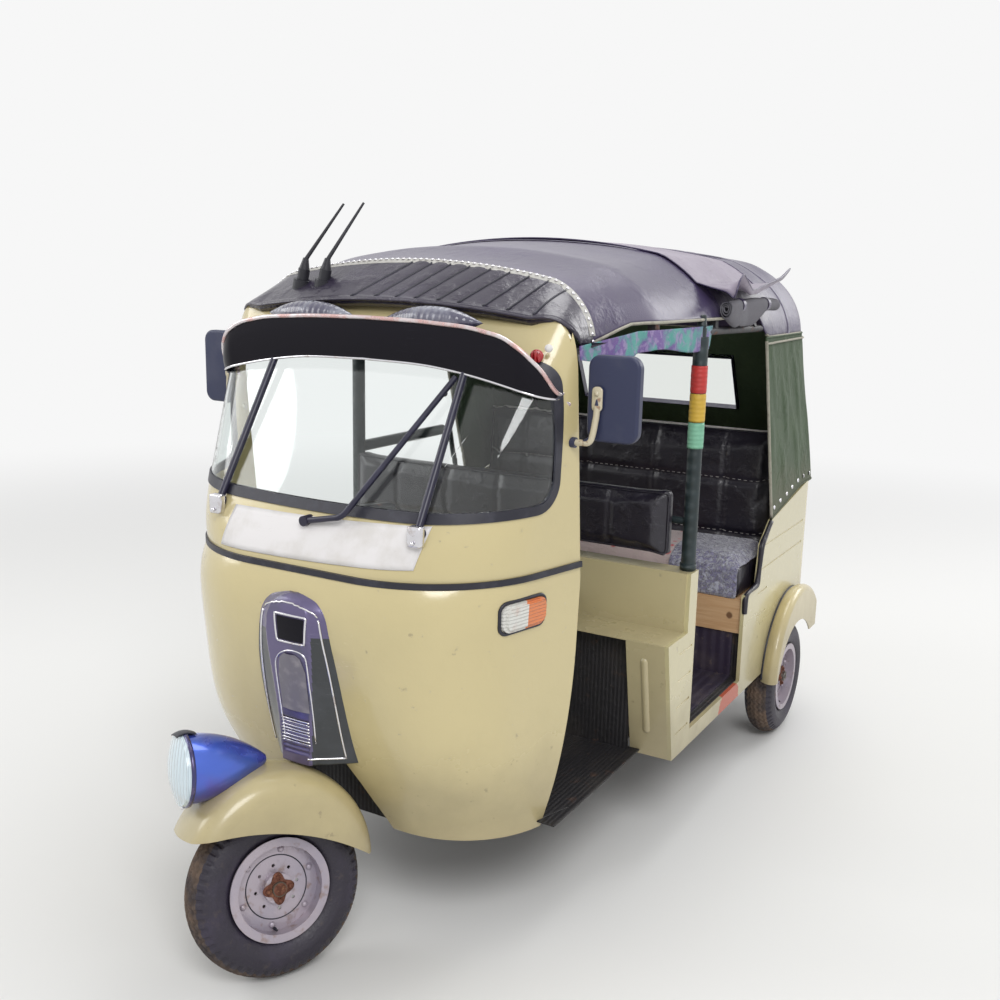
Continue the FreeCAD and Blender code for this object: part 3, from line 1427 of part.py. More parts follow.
def wheel_outlines():
    """Half sections of tyre and rim, along the axle and out from it."""
    half = z.rim_width / 2
    lip = half + z.rim_sheet
    barrel = z.bead_radius - z.rim_sheet
    widest = z.tyre_width / 2
    side = z.tyre_radius - widest
    bore = z.stub_radius + z.wheel_play
    tyre = [(-half, z.bead_radius), (half, z.bead_radius), (half, z.rim_radius), (widest, side, widest),
            (0, z.tyre_radius, widest), (-widest, side), (-half, z.rim_radius)]
    rim = [(-lip, barrel), (6, barrel), (12, 64), (12, z.hub_radius), (-34, z.hub_radius), (-34, bore),
           (30, bore), (30, z.hub_radius), (16, z.hub_radius), (16, 66), (10 + z.rim_sheet, barrel),
           (lip, barrel), (lip, z.rim_radius), (half, z.rim_radius), (half, z.bead_radius),
           (-half, z.bead_radius), (-half, z.rim_radius), (-lip, z.rim_radius)]
    return tyre, rim


def axle_turned(name, outline):
    """A body turned about the x axis."""
    body = doc.addObject("PartDesign::Body", name)
    drawing = sketch(body, "XZ_Plane", name + "_section")
    draw(drawing, outline)
    turn = body.newObject("PartDesign::Revolution", name + "_turn")
    turn.Profile = drawing
    turn.ReferenceAxis = (drawing, ["H_Axis"])
    turn.Angle = 360
    doc.recompute()
    return body


def make_wheels():
    tyre, rim = wheel_outlines()
    places = [("front", 1, None), ("rear_left", 1, z.track / 2), ("rear_right", -1, -z.track / 2)]
    for name, facing, x in places:
        for kind, outline in (("tyre", tyre), ("rim", rim)):
            body = axle_turned("%s_%s_body" % (name, kind), outline)
            if kind == "rim":
                drill_rim(body, name)
            if x is None:
                label(body, "%s_%s" % (name, kind), steered=True)
                continue
            label(body, "%s_%s" % (name, kind))
            if facing < 0:
                body.Placement = FreeCAD.Placement(Vector(), FreeCAD.Rotation(Vector(0, 0, 1), 180))
            bind(body, Placement__Base__x=x, Placement__Base__z=z.tyre_radius)
            bind(body, Placement__Base__y=z.wheelbase - z.origin_back)


def drill_rim(body, name):
    """Eight bolt holes through the rim's disc, as a polar pattern."""
    drawing = sketch(body, "YZ_Plane", name + "_bolt", 40)
    import Sketcher
    hole = Part.Circle(v(0, z.bolt_circle, 0), Vector(0, 0, 1), float(z.bolt_hole))
    drawing.addGeometry(hole, False)
    drawing.addConstraint(Sketcher.Constraint("PointOnObject", 0, 3, -2))
    height = drawing.addConstraint(Sketcher.Constraint("DistanceY", 0, 3, float(z.bolt_circle)))
    drawing.setExpression("Constraints[%d]" % height, z.bolt_circle.text)
    size = drawing.addConstraint(Sketcher.Constraint("Radius", 0, float(z.bolt_hole)))
    drawing.setExpression("Constraints[%d]" % size, z.bolt_hole.text)
    hole = body.newObject("PartDesign::Pocket", name + "_bolt_hole")
    hole.Profile = drawing
    hole.Type = 1
    doc.recompute()
    pattern = body.newObject("PartDesign::PolarPattern", name + "_bolt_ring")
    pattern.Originals = [hole]
    pattern.Axis = (origin_plane(body, "X_Axis"), [""])
    pattern.Angle = 360
    pattern.Occurrences = 8
    body.Tip = pattern
    doc.recompute()


def front_dome(gap):
    """The front mudguard's outer form about its own centre, drawn in by the gap."""
    half = float(z.mudguard_half) - gap
    radius = float(z.mudguard_radius) - gap
    right = [v(half, 0, radius - 62), v(half - 12, 0, radius - 22), v(half - 45, 0, radius - 5)]
    crown = Part.Arc(right[2], v(0, 0, radius), v(-right[2].x, 0, right[2].z))
    left = Part.Arc(*[Vector(-point.x, 0, point.z) for point in reversed(right)])
    base = Part.makePolygon([Vector(-half, 0, right[0].z), v(-half, 0, 0), v(half, 0, 0), right[0]])
    face = Part.Face(Part.Wire([Part.Arc(*right).toShape(), crown.toShape(), left.toShape()] + base.Edges))
    dome = face.revolve(Vector(), Vector(1, 0, 0), 360)
    dome.translate(v(0, 0, z.mudguard_lift))
    return dome


def fork_path():
    side = -float(z.leg_side)
    return [STEER_AXIS * float(z.column_top), STEER_AXIS * 258, v(side, 98, 200), v(side, -52, -40)]


fork_rod = rod(fork_path(), z.column_radius, 40)
dome_outer = front_dome(0)


def make_fork():
    """Steering column and one-sided leg with its trailing link, stub axle and back plate."""
    side = -float(z.leg_side)
    link = rod([v(side, -52, -40), v(side, 0, 0), v(side, 50, 38)], 12, 20)
    stub = Part.makeCylinder(float(z.stub_radius), 112, v(side, 0, 0), Vector(1, 0, 0))
    nut = Part.makeCylinder(17, 10, v(31, 0, 0), Vector(1, 0, 0))
    plate_disc = Part.makeCylinder(74, 6, v(-61, 0, 0), Vector(1, 0, 0))
    bracket = rod([v(side, 96, 196), v(side, 124, 184)], 11, 1)
    solid = fork_rod.fuse(link).fuse(stub).fuse(nut).fuse(plate_disc).fuse(bracket)
    shaped("front_fork", solid, steered=True)
    damper = rod([v(side, 50, 52), v(side, 122, 170)], 15, 1)
    rest = damper.cut(solid)
    shaped("front_damper", max(rest.Solids, key=lambda part: part.Volume), steered=True)


def make_mudguard():
    """The front mudguard, open below along a curved lip, with a hole for the column."""
    wall = float(z.mudguard_wall)
    shell = dome_outer.cut(front_dome(wall))
    lip = Part.Arc(v(-200, -205, 174), v(-200, 8, 144), v(-200, 208, 31)).toShape()
    rest = Part.makePolygon([v(-200, 208, 31), v(-200, 300, 31), v(-200, 300, 400), v(-200, -300, 400),
                             v(-200, -300, 174), v(-200, -205, 174)])
    keep = Part.Face(Part.Wire([lip] + rest.Edges)).extrude(Vector(400, 0, 0))
    hole = rod(fork_path(), float(z.column_radius), 40)
    shaped("front_mudguard", shell.common(keep).cut(hole), steered=True)


def make_headlamp():
    """The bullet headlamp on the mudguard: housing, and a lens in its rim."""
    radius = float(z.lamp_radius)
    tip = v(0, -178, 322)
    turn = FreeCAD.Placement(tip, FreeCAD.Rotation(Vector(1, 0, 0), -7.5))
    points = [v(0, 16, radius), v(0, 110, radius * 0.82), v(0, 203, 10)]
    edges = [Part.Arc(*points).toShape()]
    rest = Part.makePolygon([points[2], v(0, 207, 0), v(0, 16, 0), points[0]])
    housing = Part.Face(Part.Wire(edges + rest.Edges)).revolve(Vector(), Vector(0, 1, 0), 360)
    housing.Placement = turn
    housing = housing.cut(dome_outer).cut(fork_rod)
    shaped("headlamp", max(housing.Solids, key=lambda part: part.Volume), steered=True)
    face, dome = radius - 6, 16
    ball = (face * face + dome * dome) / (2 * dome)
    half = face / 2
    rise = ball - dome - math.sqrt(ball * ball - half * half)
    front = Part.Arc(v(0, 0, face), v(0, rise, half), v(0, -dome, 0)).toShape()
    rest = Part.makePolygon([v(0, -16, 0), v(0, 16, 0), v(0, 16, radius), v(0, 10, radius + 3),
                             v(0, 2, radius + 1), v(0, 0, face)])
    lens = Part.Face(Part.Wire([front] + rest.Edges)).revolve(Vector(), Vector(0, 1, 0), 360)
    lens.Placement = turn
    shaped("headlamp_lens", lens.cut(dome_outer), steered=True)


def make_handlebar():
    """The handlebar with its grips and the pod round its middle."""
    top = STEER_AXIS * float(z.column_top)
    bar_z = top.z + 16
    bar = rod([v(-305, 432, bar_z - 36), v(-150, 378, bar_z), v(150, 378, bar_z),
               v(305, 432, bar_z - 36)], 11, 60)
    pod = Part.makeBox(150, 92, 64, v(-75, 328, top.z - 14))
    pod = pod.makeFillet(18, pod.Edges)
    bar = bar.fuse(pod)
    for side in (-1, 1):
        start = v(305 * side, 432, bar_z - 36)
        along = (v(150 * side, 378, bar_z) - start).normalize()
        bar = bar.fuse(Part.makeCylinder(17, 108, start, along))
    shaped("handlebar", bar.cut(fork_rod), steered=True)


BUILD_STEPS = [make_nose, make_surround, make_windscreen, make_waist_bead, make_grille, make_indicators,
               make_roof_front, make_canopy, make_flap, make_rolled_curtains, make_visor,
               make_screen_bars, make_wiper, make_aerials, make_mirrors, make_side_panels,
               make_rear_panel, make_hatch, make_floor, make_wheel_well, make_floor_mat, make_partition,
               make_bulkhead, make_seats, make_bench_board, make_side_posts,
               make_canopy_frame, make_rear_fenders, make_chassis, make_engine, make_rear_axle,
               make_rear_dampers, make_tail_lamps, make_bumper, make_wheels, make_fork, make_mudguard,
               make_headlamp, make_handlebar]
for step in BUILD_STEPS:
    step()


doc.recompute()
for thing in doc.Objects:
    if "Invalid" in thing.State or "Error" in thing.State:
        raise RuntimeError("%s: %s" % (thing.Name, thing.State))
for thing in pieces:
    if thing.Shape.isNull() or not thing.Shape.isValid():
        raise RuntimeError("%s has no valid shape" % thing.Label)

os.makedirs("parts", exist_ok=True)
for thing in pieces:
    thing.Shape.exportStep("parts/%s.step" % thing.Label)
    print(thing.Label, len(thing.Shape.Solids), round(thing.Shape.Volume))
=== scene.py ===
import math
import bmesh
import bpy
import numpy as np
from mathutils import Matrix, Vector
from mathutils.bvhtree import BVHTree


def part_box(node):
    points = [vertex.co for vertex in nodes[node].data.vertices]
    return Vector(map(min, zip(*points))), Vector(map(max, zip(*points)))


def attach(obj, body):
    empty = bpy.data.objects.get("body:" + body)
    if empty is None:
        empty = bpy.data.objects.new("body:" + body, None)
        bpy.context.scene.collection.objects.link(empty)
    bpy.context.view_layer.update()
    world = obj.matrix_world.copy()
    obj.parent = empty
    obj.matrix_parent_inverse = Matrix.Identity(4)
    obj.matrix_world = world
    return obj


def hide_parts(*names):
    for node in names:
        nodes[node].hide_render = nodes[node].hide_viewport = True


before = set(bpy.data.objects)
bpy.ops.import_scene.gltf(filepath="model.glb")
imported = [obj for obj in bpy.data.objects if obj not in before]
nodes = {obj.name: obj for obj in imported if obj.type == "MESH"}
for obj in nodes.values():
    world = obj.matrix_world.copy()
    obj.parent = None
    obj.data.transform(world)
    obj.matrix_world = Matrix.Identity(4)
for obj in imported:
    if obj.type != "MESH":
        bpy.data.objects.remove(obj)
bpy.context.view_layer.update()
print("frame loaded:", len(nodes), "nodes")

# Places are in millimetres from the front axle's foot, as on the drawing: x to the vehicle's left, y to the
# back, z up. toFrame turns them into the frame's metres and toDrawing turns them back.
drawing = {"frontAxle": 1101.9}


def toFrame(points):
    return (np.asarray(points, float) - [0, drawing["frontAxle"], 0]) / 1000


def toDrawing(points):
    return np.array(points) * 1000 + [0, drawing["frontAxle"], 0]


def addObject(name, data):
    obj = bpy.data.objects.new(name, data)
    bpy.context.scene.collection.objects.link(obj)
    return obj


# The camera stands where the photograph's did: metres, degrees and millimetres of lens.
camera = {"place": (1.605, -2.8559, 1.623), "yaw": 30.18, "pitch": 11.97, "roll": 1.25, "lens": 39.744}


def makeCamera():
    yaw, pitch, roll = (math.radians(camera[k]) for k in ("yaw", "pitch", "roll"))
    forward = np.array([-math.sin(yaw) * math.cos(pitch), math.cos(yaw) * math.cos(pitch), -math.sin(pitch)])
    level = np.array([math.cos(yaw), math.sin(yaw), 0.0])
    raised = np.cross(level, forward)
    right = math.cos(roll) * level + math.sin(roll) * raised
    up = -math.sin(roll) * level + math.cos(roll) * raised
    data = bpy.data.cameras.new("photoCamera")
    data.sensor_width, data.lens = 36, camera["lens"]
    data.clip_start, data.clip_end = 0.05, 100
    obj = addObject("photoCamera", data)
    rows = np.eye(4)
    rows[:3, 0], rows[:3, 1], rows[:3, 2], rows[:3, 3] = right, up, -forward, camera["place"]
    obj.matrix_world = Matrix(rows)
    bpy.context.scene.camera = obj


# A lamp is (place, target, size, watts); the floor fades to the backdrop between the two distances.
studio = {"floorSize": 40.0, "floorColor": (0.78, 0.78, 0.77, 1), "floorRough": 0.9, "worldLight": 0.55,
          "backdrop": 0.93, "fade": (2.4, 7.5),
          "lamps": {"keyLamp": ((3.4, -4.2, 5.2), (0, 0, 0.7), 3.0, 190),
                    "sideLamp": ((-4.6, -2.6, 3.6), (0, 0, 0.8), 3.0, 80),
                    "topLamp": ((0.4, 1.6, 6.0), (0, 0.2, 1.0), 3.5, 110),
                    "rearLamp": ((2.8, 5.0, 3.6), (0, 0, 0.8), 3.0, 80)}}


def addLamp(name, place, target, size, power):
    data = bpy.data.lights.new(name, "AREA")
    data.shape, data.size, data.energy = "DISK", size, power
    obj = addObject(name, data)
    obj.location = place
    aim = np.array(target, float) - np.array(place, float)
    obj.rotation_euler = Vector(aim).to_track_quat("-Z", "Y").to_euler()


# One for the rays that show the backdrop: seen straight, in gloss or through glass.
def seenRays(tree):
    path = put(tree, "ShaderNodeLightPath").outputs
    seen = calc(tree, path["Is Camera Ray"], path["Is Transmission Ray"], "MAXIMUM")
    return calc(tree, seen, path["Is Glossy Ray"], "MAXIMUM")


def mixOut(tree, part, first, second, output):
    mixed = put(tree, "ShaderNodeMixShader", {0: part, 1: first.outputs[0], 2: second.outputs[0]})
    tree.links.new(mixed.outputs[0], tree.nodes[output].inputs["Surface"])


def makeFloor():
    half = studio["floorSize"] / 2
    mesh = bpy.data.meshes.new("floor")
    mesh.from_pydata([(-half, -half, 0), (half, -half, 0), (half, half, 0), (-half, half, 0)], [],
                     [(0, 1, 2, 3)])
    material = bpy.data.materials.new("floorPaint")
    material.use_nodes = True
    tree = material.node_tree
    shader = tree.nodes["Principled BSDF"]
    shader.inputs["Base Color"].default_value = studio["floorColor"]
    shader.inputs["Roughness"].default_value = studio["floorRough"]
    place = put(tree, "ShaderNodeTexCoord").outputs["Object"]
    far = calc(tree, ramp(tree, vector(tree, "LENGTH", place), *studio["fade"]), seenRays(tree), "MULTIPLY")
    glow = put(tree, "ShaderNodeEmission", {"Color": (1, 1, 1, 1), "Strength": studio["backdrop"]})
    mixOut(tree, far, shader, glow, "Material Output")
    mesh.materials.append(material)
    addObject("floor", mesh)


def makeStudio():
    makeFloor()
    world = bpy.data.worlds.new("studioWorld")
    bpy.context.scene.world = world
    world.use_nodes = True
    tree = world.node_tree
    back = tree.nodes["Background"]
    back.inputs["Color"].default_value = (1, 1, 1, 1)
    back.inputs["Strength"].default_value = studio["worldLight"]
    seen = put(tree, "ShaderNodeBackground", {"Color": (1, 1, 1, 1), "Strength": studio["backdrop"]})
    mixOut(tree, seenRays(tree), back, seen, "World Output")
    for name, lamp in studio["lamps"].items():
        addLamp(name, *lamp)
    bpy.context.scene.view_settings.view_transform = "Standard"


# One shader node: its sockets take values or other nodes' outputs.
def put(tree, kind, inputs=None, **settings):
    node = tree.nodes.new(kind)
    for key, value in settings.items():
        setattr(node, key, value)
    for key, value in (inputs or {}).items():
        if isinstance(value, bpy.types.NodeSocket):
            tree.links.new(value, node.inputs[key])
        else:
            node.inputs[key].default_value = value
    return node


def calc(tree, a, b=0.5, operation="ADD"):
    return put(tree, "ShaderNodeMath", {0: a, 1: b}, operation=operation).outputs[0]


# A vector operation: a vector out of MULTIPLY, a number out of the others.
def vector(tree, operation, a, b=(0, 0, 0)):
    return put(tree, "ShaderNodeVectorMath", {0: a, 1: b},
               operation=operation).outputs[operation != "MULTIPLY"]


def ramp(tree, value, low, high):
    return put(tree, "ShaderNodeMapRange", {"Value": value, "From Min": low, "From Max": high},
               interpolation_type="SMOOTHSTEP").outputs[0]


def noise(tree, place, scale, detail=3.0, rough=0.55):
    return put(tree, "ShaderNodeTexNoise", {"Vector": place, "Scale": scale, "Detail": detail,
                                            "Roughness": rough}).outputs[0]


# Noise from minus to plus half of the group's Ragged.
def ragged(tree, given, place, detail):
    return calc(tree, calc(tree, noise(tree, place, given["Scale"], detail), 0.5, "SUBTRACT"),
                given["Ragged"], "MULTIPLY")


# Soft clouds of noise between two thresholds.
def blotches(tree, given, place):
    return ramp(tree, noise(tree, place, given["Scale"], 4), given["Low"], given["High"])


# Full at the bottom and gone at the top, with a ragged edge.
def groundDirtAndShade(tree, given, place):
    height = put(tree, "ShaderNodeSeparateXYZ", {0: place}).outputs[2]
    return ramp(tree, calc(tree, height, ragged(tree, given, place, 5)), given["Top"], given["Bottom"])


# Where a rounded normal leaves the true one, broken up by noise.
def edgeWear(tree, given, place):
    rounded = put(tree, "ShaderNodeBevel", {"Radius": given["Width"]}, samples=4).outputs[0]
    true = put(tree, "ShaderNodeNewGeometry").outputs["Normal"]
    edge = ramp(tree, vector(tree, "DOT_PRODUCT", rounded, true), 0.985, 0.86)
    broken = ramp(tree, noise(tree, place, given["Scale"], 6), calc(tree, 1, given["Amount"], "SUBTRACT"),
                  0.75)
    return calc(tree, edge, broken, "MULTIPLY")


# Thin lines where stretched noise crosses its middle.
def scratches(tree, given, place):
    lines = noise(tree, vector(tree, "MULTIPLY", place, given["Along"]), given["Scale"], 2)
    off = calc(tree, calc(tree, lines, 0.5, "SUBTRACT"), operation="ABSOLUTE")
    patchy = ramp(tree, noise(tree, place, 5, 2), 0.5, 0.62)
    return calc(tree, ramp(tree, off, given["Width"], 0), patchy, "MULTIPLY")


# Leather cells with finer noise on them.
def grain(tree, given, place):
    cells = put(tree, "ShaderNodeTexVoronoi", {"Vector": place, "Scale": given["Scale"]}, feature="SMOOTH_F1")
    return calc(tree, cells.outputs[0], noise(tree, place, given["Scale"], 3))


# Crossed threads, level ones over (x + y) and upright ones over z.
def weave(tree, given, place):
    axes = put(tree, "ShaderNodeSeparateXYZ", {0: place}).outputs
    level, upright = (calc(tree, calc(tree, part, given["Threads"], "MULTIPLY"), operation="SINE")
                      for part in (calc(tree, axes[0], axes[1]), axes[2]))
    return calc(tree, level, upright, "MULTIPLY")


# Even ridges across a direction.
def ribs(tree, given, place):
    along = vector(tree, "DOT_PRODUCT", place, given["Direction"])
    turns = calc(tree, calc(tree, along, given["Spacing"], "DIVIDE"), 2 * math.pi, "MULTIPLY")
    return calc(tree, turns, operation="SINE")


# Round spots on a loose lattice.
def dots(tree, given, place):
    away = put(tree, "ShaderNodeTexVoronoi", {"Vector": vector(tree, "MULTIPLY", place, (1, 1, 0.6)),
                                              "Scale": given["Scale"], "Randomness": 0.25}).outputs[0]
    return ramp(tree, away, given["Size"], calc(tree, given["Size"], 0.06, "SUBTRACT"))


# Long rings of noise.
def woodGrain(tree, given, place):
    rings = noise(tree, vector(tree, "MULTIPLY", place, given["Along"]), given["Scale"], 5, 0.65)
    return ramp(tree, rings, 0.35, 0.68)


# One between two distances along a direction, with soft ends.
def band(tree, given, place):
    along = vector(tree, "DOT_PRODUCT", place, given["Direction"])
    above = ramp(tree, along, given["From"], calc(tree, given["From"], given["Soft"]))
    below = ramp(tree, along, calc(tree, given["To"], given["Soft"]), given["To"])
    return calc(tree, above, below, "MULTIPLY")


# One inside a ball, with a ragged edge.
def spot(tree, given, place):
    away = calc(tree, vector(tree, "DISTANCE", place, given["Place"]), ragged(tree, given, place, 4))
    return ramp(tree, away, calc(tree, given["Radius"], 0.006), given["Radius"])


effects = {blotches: {"Scale": 6, "Low": 0.45, "High": 0.7},
           groundDirtAndShade: {"Bottom": 0.1, "Top": 0.5, "Scale": 9, "Ragged": 0.3},
           edgeWear: {"Width": 0.004, "Scale": 60, "Amount": 0.5},
           scratches: {"Scale": 3, "Along": (1, 1, 14), "Width": 0.004},
           grain: {"Scale": 260},
           weave: {"Threads": 2500},
           ribs: {"Direction": (0, 1, 0), "Spacing": 0.01},
           dots: {"Scale": 24, "Size": 0.3},
           woodGrain: {"Scale": 7, "Along": (1, 14, 14)},
           band: {"Direction": (0, 0, 1), "From": 0.5, "To": 0.6, "Soft": 0.002},
           spot: {"Place": (0, 0, 0), "Radius": 0.1, "Ragged": 0.04, "Scale": 30}}


# Each effect is a node group with one value out, made by the function of its name.
def makeGroups():
    for effect, inputs in effects.items():
        tree = bpy.data.node_groups.new(effect.__name__, "ShaderNodeTree")
        for label, value in inputs.items():
            kind = "NodeSocketVector" if hasattr(value, "__len__") else "NodeSocketFloat"
            tree.interface.new_socket(label, in_out="INPUT", socket_type=kind).default_value = value
        tree.interface.new_socket("Value", in_out="OUTPUT", socket_type="NodeSocketFloat")
        place = put(tree, "ShaderNodeTexCoord").outputs["Object"]
        value = effect(tree, put(tree, "NodeGroupInput").outputs, place)
        tree.links.new(value, put(tree, "NodeGroupOutput").inputs[0])


def grouped(tree, name, values):
    node = put(tree, "ShaderNodeGroup", node_tree=bpy.data.node_groups[name])
    for key, value in values.items():
        node.inputs[key].default_value = value
    return node.outputs[0]


# A material from a base colour and roughness, layers laid over it and bumps. A layer is (effect, its values,
# colour or None for roughness alone, roughness, amount); a bump is (effect, its values, depth in metres).
def finish(name, color, rough, layers=(), bumps=(), **sockets):
    material = bpy.data.materials.new(name)
    material.use_nodes = True
    tree = material.node_tree
    shader = tree.nodes["Principled BSDF"]
    tint, gloss, normal = (*color, 1), rough, None
    shader.inputs["Base Color"].default_value, shader.inputs["Roughness"].default_value = tint, gloss
    for key, value in sockets.items():
        shader.inputs[key.replace("_", " ")].default_value = value
    for effect, values, color2, rough2, amount in layers:
        weight = calc(tree, grouped(tree, effect, values), amount, "MULTIPLY")
        if color2:
            tint = put(tree, "ShaderNodeMix", {0: weight, 6: tint, 7: (*color2, 1)},
                       data_type="RGBA").outputs[2]
            tree.links.new(tint, shader.inputs["Base Color"])
        gloss = put(tree, "ShaderNodeMix", {0: weight, 2: gloss, 3: rough2}, data_type="FLOAT").outputs[0]
        tree.links.new(gloss, shader.inputs["Roughness"])
    for effect, values, depth in bumps:
        bump = put(tree, "ShaderNodeBump", {"Height": grouped(tree, effect, values), "Distance": depth})
        if normal:
            tree.links.new(normal, bump.inputs["Normal"])
        normal = bump.outputs[0]
        tree.links.new(normal, shader.inputs["Normal"])
    return material


# Glass that lets light through to what is behind it: shadow and diffuse rays pass straight on.
def glassFinish(name, color, rough, ior, dust):
    layer = ("blotches", {"Scale": 14, "Low": 0.5, "High": 0.8}, None, rough + dust, 0.6)
    material = finish(name, color, rough, [layer], IOR=ior, Transmission_Weight=1.0)
    tree = material.node_tree
    path = put(tree, "ShaderNodeLightPath")
    passing = calc(tree, path.outputs["Is Shadow Ray"], path.outputs["Is Diffuse Ray"], "MAXIMUM")
    clear = put(tree, "ShaderNodeBsdfTransparent", {"Color": (0.86, 0.9, 0.88, 1)})
    mixOut(tree, passing, tree.nodes["Principled BSDF"], clear, "Material Output")
    return material


# Short forms for the layers and bumps used most.
def clouds(scale, color, rough, amount, low=0.45, high=0.7):
    return "blotches", {"Scale": scale, "Low": low, "High": high}, color, rough, amount


def lines(scale, color, rough, amount, along=(1, 1, 14)):
    return "scratches", {"Scale": scale, "Along": along}, color, rough, amount


def worn(width, scale, color, rough, amount):
    return "edgeWear", {"Width": width, "Scale": scale}, color, rough, amount


# A coloured band, full below bottom and gone above top, with a ragged edge: dust on the dark steels and
# canvas, painted shade on the lamp housing.
def dirtAndShade(bottom, top, scale, color, rough, amount, ragged=0.3):
    values = {"Bottom": bottom, "Top": top, "Scale": scale, "Ragged": ragged}
    return "groundDirtAndShade", values, color, rough, amount


def stain(place, radius, color, rough, amount, ragged=0.04):
    return "spot", {"Place": tuple(toFrame(place)), "Radius": radius, "Ragged": ragged}, color, rough, amount


def lumps(scale, depth, low=0.45, high=0.7):
    return "blotches", {"Scale": scale, "Low": low, "High": high}, depth


def pores(scale, depth):
    return "grain", {"Scale": scale}, depth


def threads(count, depth):
    return "weave", {"Threads": count}, depth


def ridges(direction, spacing, depth):
    return "ribs", {"Direction": direction, "Spacing": spacing}, depth


grime = (0.20, 0.16, 0.10)
rust = (0.21, 0.075, 0.03)


# Each cream has a darker, browner band towards the bottom, fading out at the height top.
def creamFinish(name, color, top, amount=0.55, extra=()):
    darker, lighter = tuple(c * 0.88 for c in color), tuple(min(1, c * 1.2) for c in color)
    return finish(name, color, 0.24, [
        clouds(2.2, darker, 0.3, 0.7, 0.42, 0.75), lines(4, lighter, 0.45, 0.10, (1, 1, 9)),
        clouds(46, grime, 0.6, 0.45, 0.66, 0.76), dirtAndShade(0.22, top, 7, grime, 0.75, amount),
        worn(0.003, 45, rust, 0.8, 0.55), *extra], [lumps(24, 0.0006, 0.2, 0.9)],
        Coat_Weight=0.6, Coat_Roughness=0.12)


def makePaints():
    cream = (0.60, 0.51, 0.27)
    return {
        "cream": creamFinish("creamPaint", cream, 0.62),
        "creamNose": creamFinish("creamNosePaint", cream, 0.60, 0.5),
        # The side panels wear a greyer, greener copy of the cream, painted shade on the sides; the red-brown
        # spot is a rust stain.
        "creamSideShaded": creamFinish("creamSidePaint", (0.57, 0.51, 0.29), 0.55, 0.6, [
            stain((596, 1440, 268), 0.095, (0.42, 0.06, 0.02), 0.7, 0.95)]),
        # The partition and rear bulkhead wear a darker copy of the cream, painted shade inside the cab, with
        # the darker lower band reaching higher.
        "creamInnerShaded": creamFinish("creamInnerPaint", (0.53, 0.46, 0.27), 0.75, 0.5),
        "grille": finish("grillePaint", (0.115, 0.095, 0.20), 0.3, [
            clouds(9, (0.08, 0.085, 0.12), 0.42, 0.8), lines(7, (0.3, 0.28, 0.4), 0.5, 0.4)],
            Metallic=0.35, Coat_Weight=0.5),
        "flank": finish("grilleFlank", (0.020, 0.024, 0.028), 0.3, [
            clouds(12, (0.04, 0.045, 0.055), 0.4, 0.7), lines(7, (0.12, 0.12, 0.14), 0.5, 0.4)],
            Coat_Weight=0.4),
        "archPanel": finish("archPanel", (0.16, 0.15, 0.18), 0.4, [
            clouds(30, (0.3, 0.28, 0.3), 0.5, 0.6)], [pores(700, 0.0002)]),
        "navy": finish("navyPaint", (0.011, 0.010, 0.030), 0.34, [
            clouds(20, (0.025, 0.023, 0.055), 0.45, 0.6), worn(0.003, 60, (0.08, 0.07, 0.09), 0.6, 0.5)]),
        "mirror": finish("mirrorBack", (0.022, 0.028, 0.072), 0.42, [
            lines(5, (0.1, 0.11, 0.16), 0.55, 0.5), clouds(12, (0.045, 0.05, 0.09), 0.55, 0.7)],
            [pores(900, 0.00015)]),
        "armPaint": finish("mirrorArm", (0.56, 0.50, 0.36), 0.3, [
            clouds(60, rust, 0.7, 0.7, 0.58, 0.7)], Coat_Weight=0.3),
        # The rim's grey and its lavender clouds carry a painted reflection of the light on pale paint; the
        # brown clouds and worn edges are rust.
        "rim": finish("rimPaint", (0.43, 0.38, 0.43), 0.34, [
            clouds(9, (0.36, 0.33, 0.40), 0.45, 0.7), clouds(38, (0.26, 0.17, 0.12), 0.75, 0.6, 0.56, 0.72),
            worn(0.004, 50, (0.22, 0.12, 0.08), 0.8, 0.7)], [lumps(70, 0.0004)], Metallic=0.35),
        "plate": finish("blankPlate", (0.74, 0.72, 0.72), 0.38, [
            clouds(11, (0.55, 0.52, 0.48), 0.5, 0.5), lines(9, (0.4, 0.38, 0.36), 0.6, 0.5)]),
    }


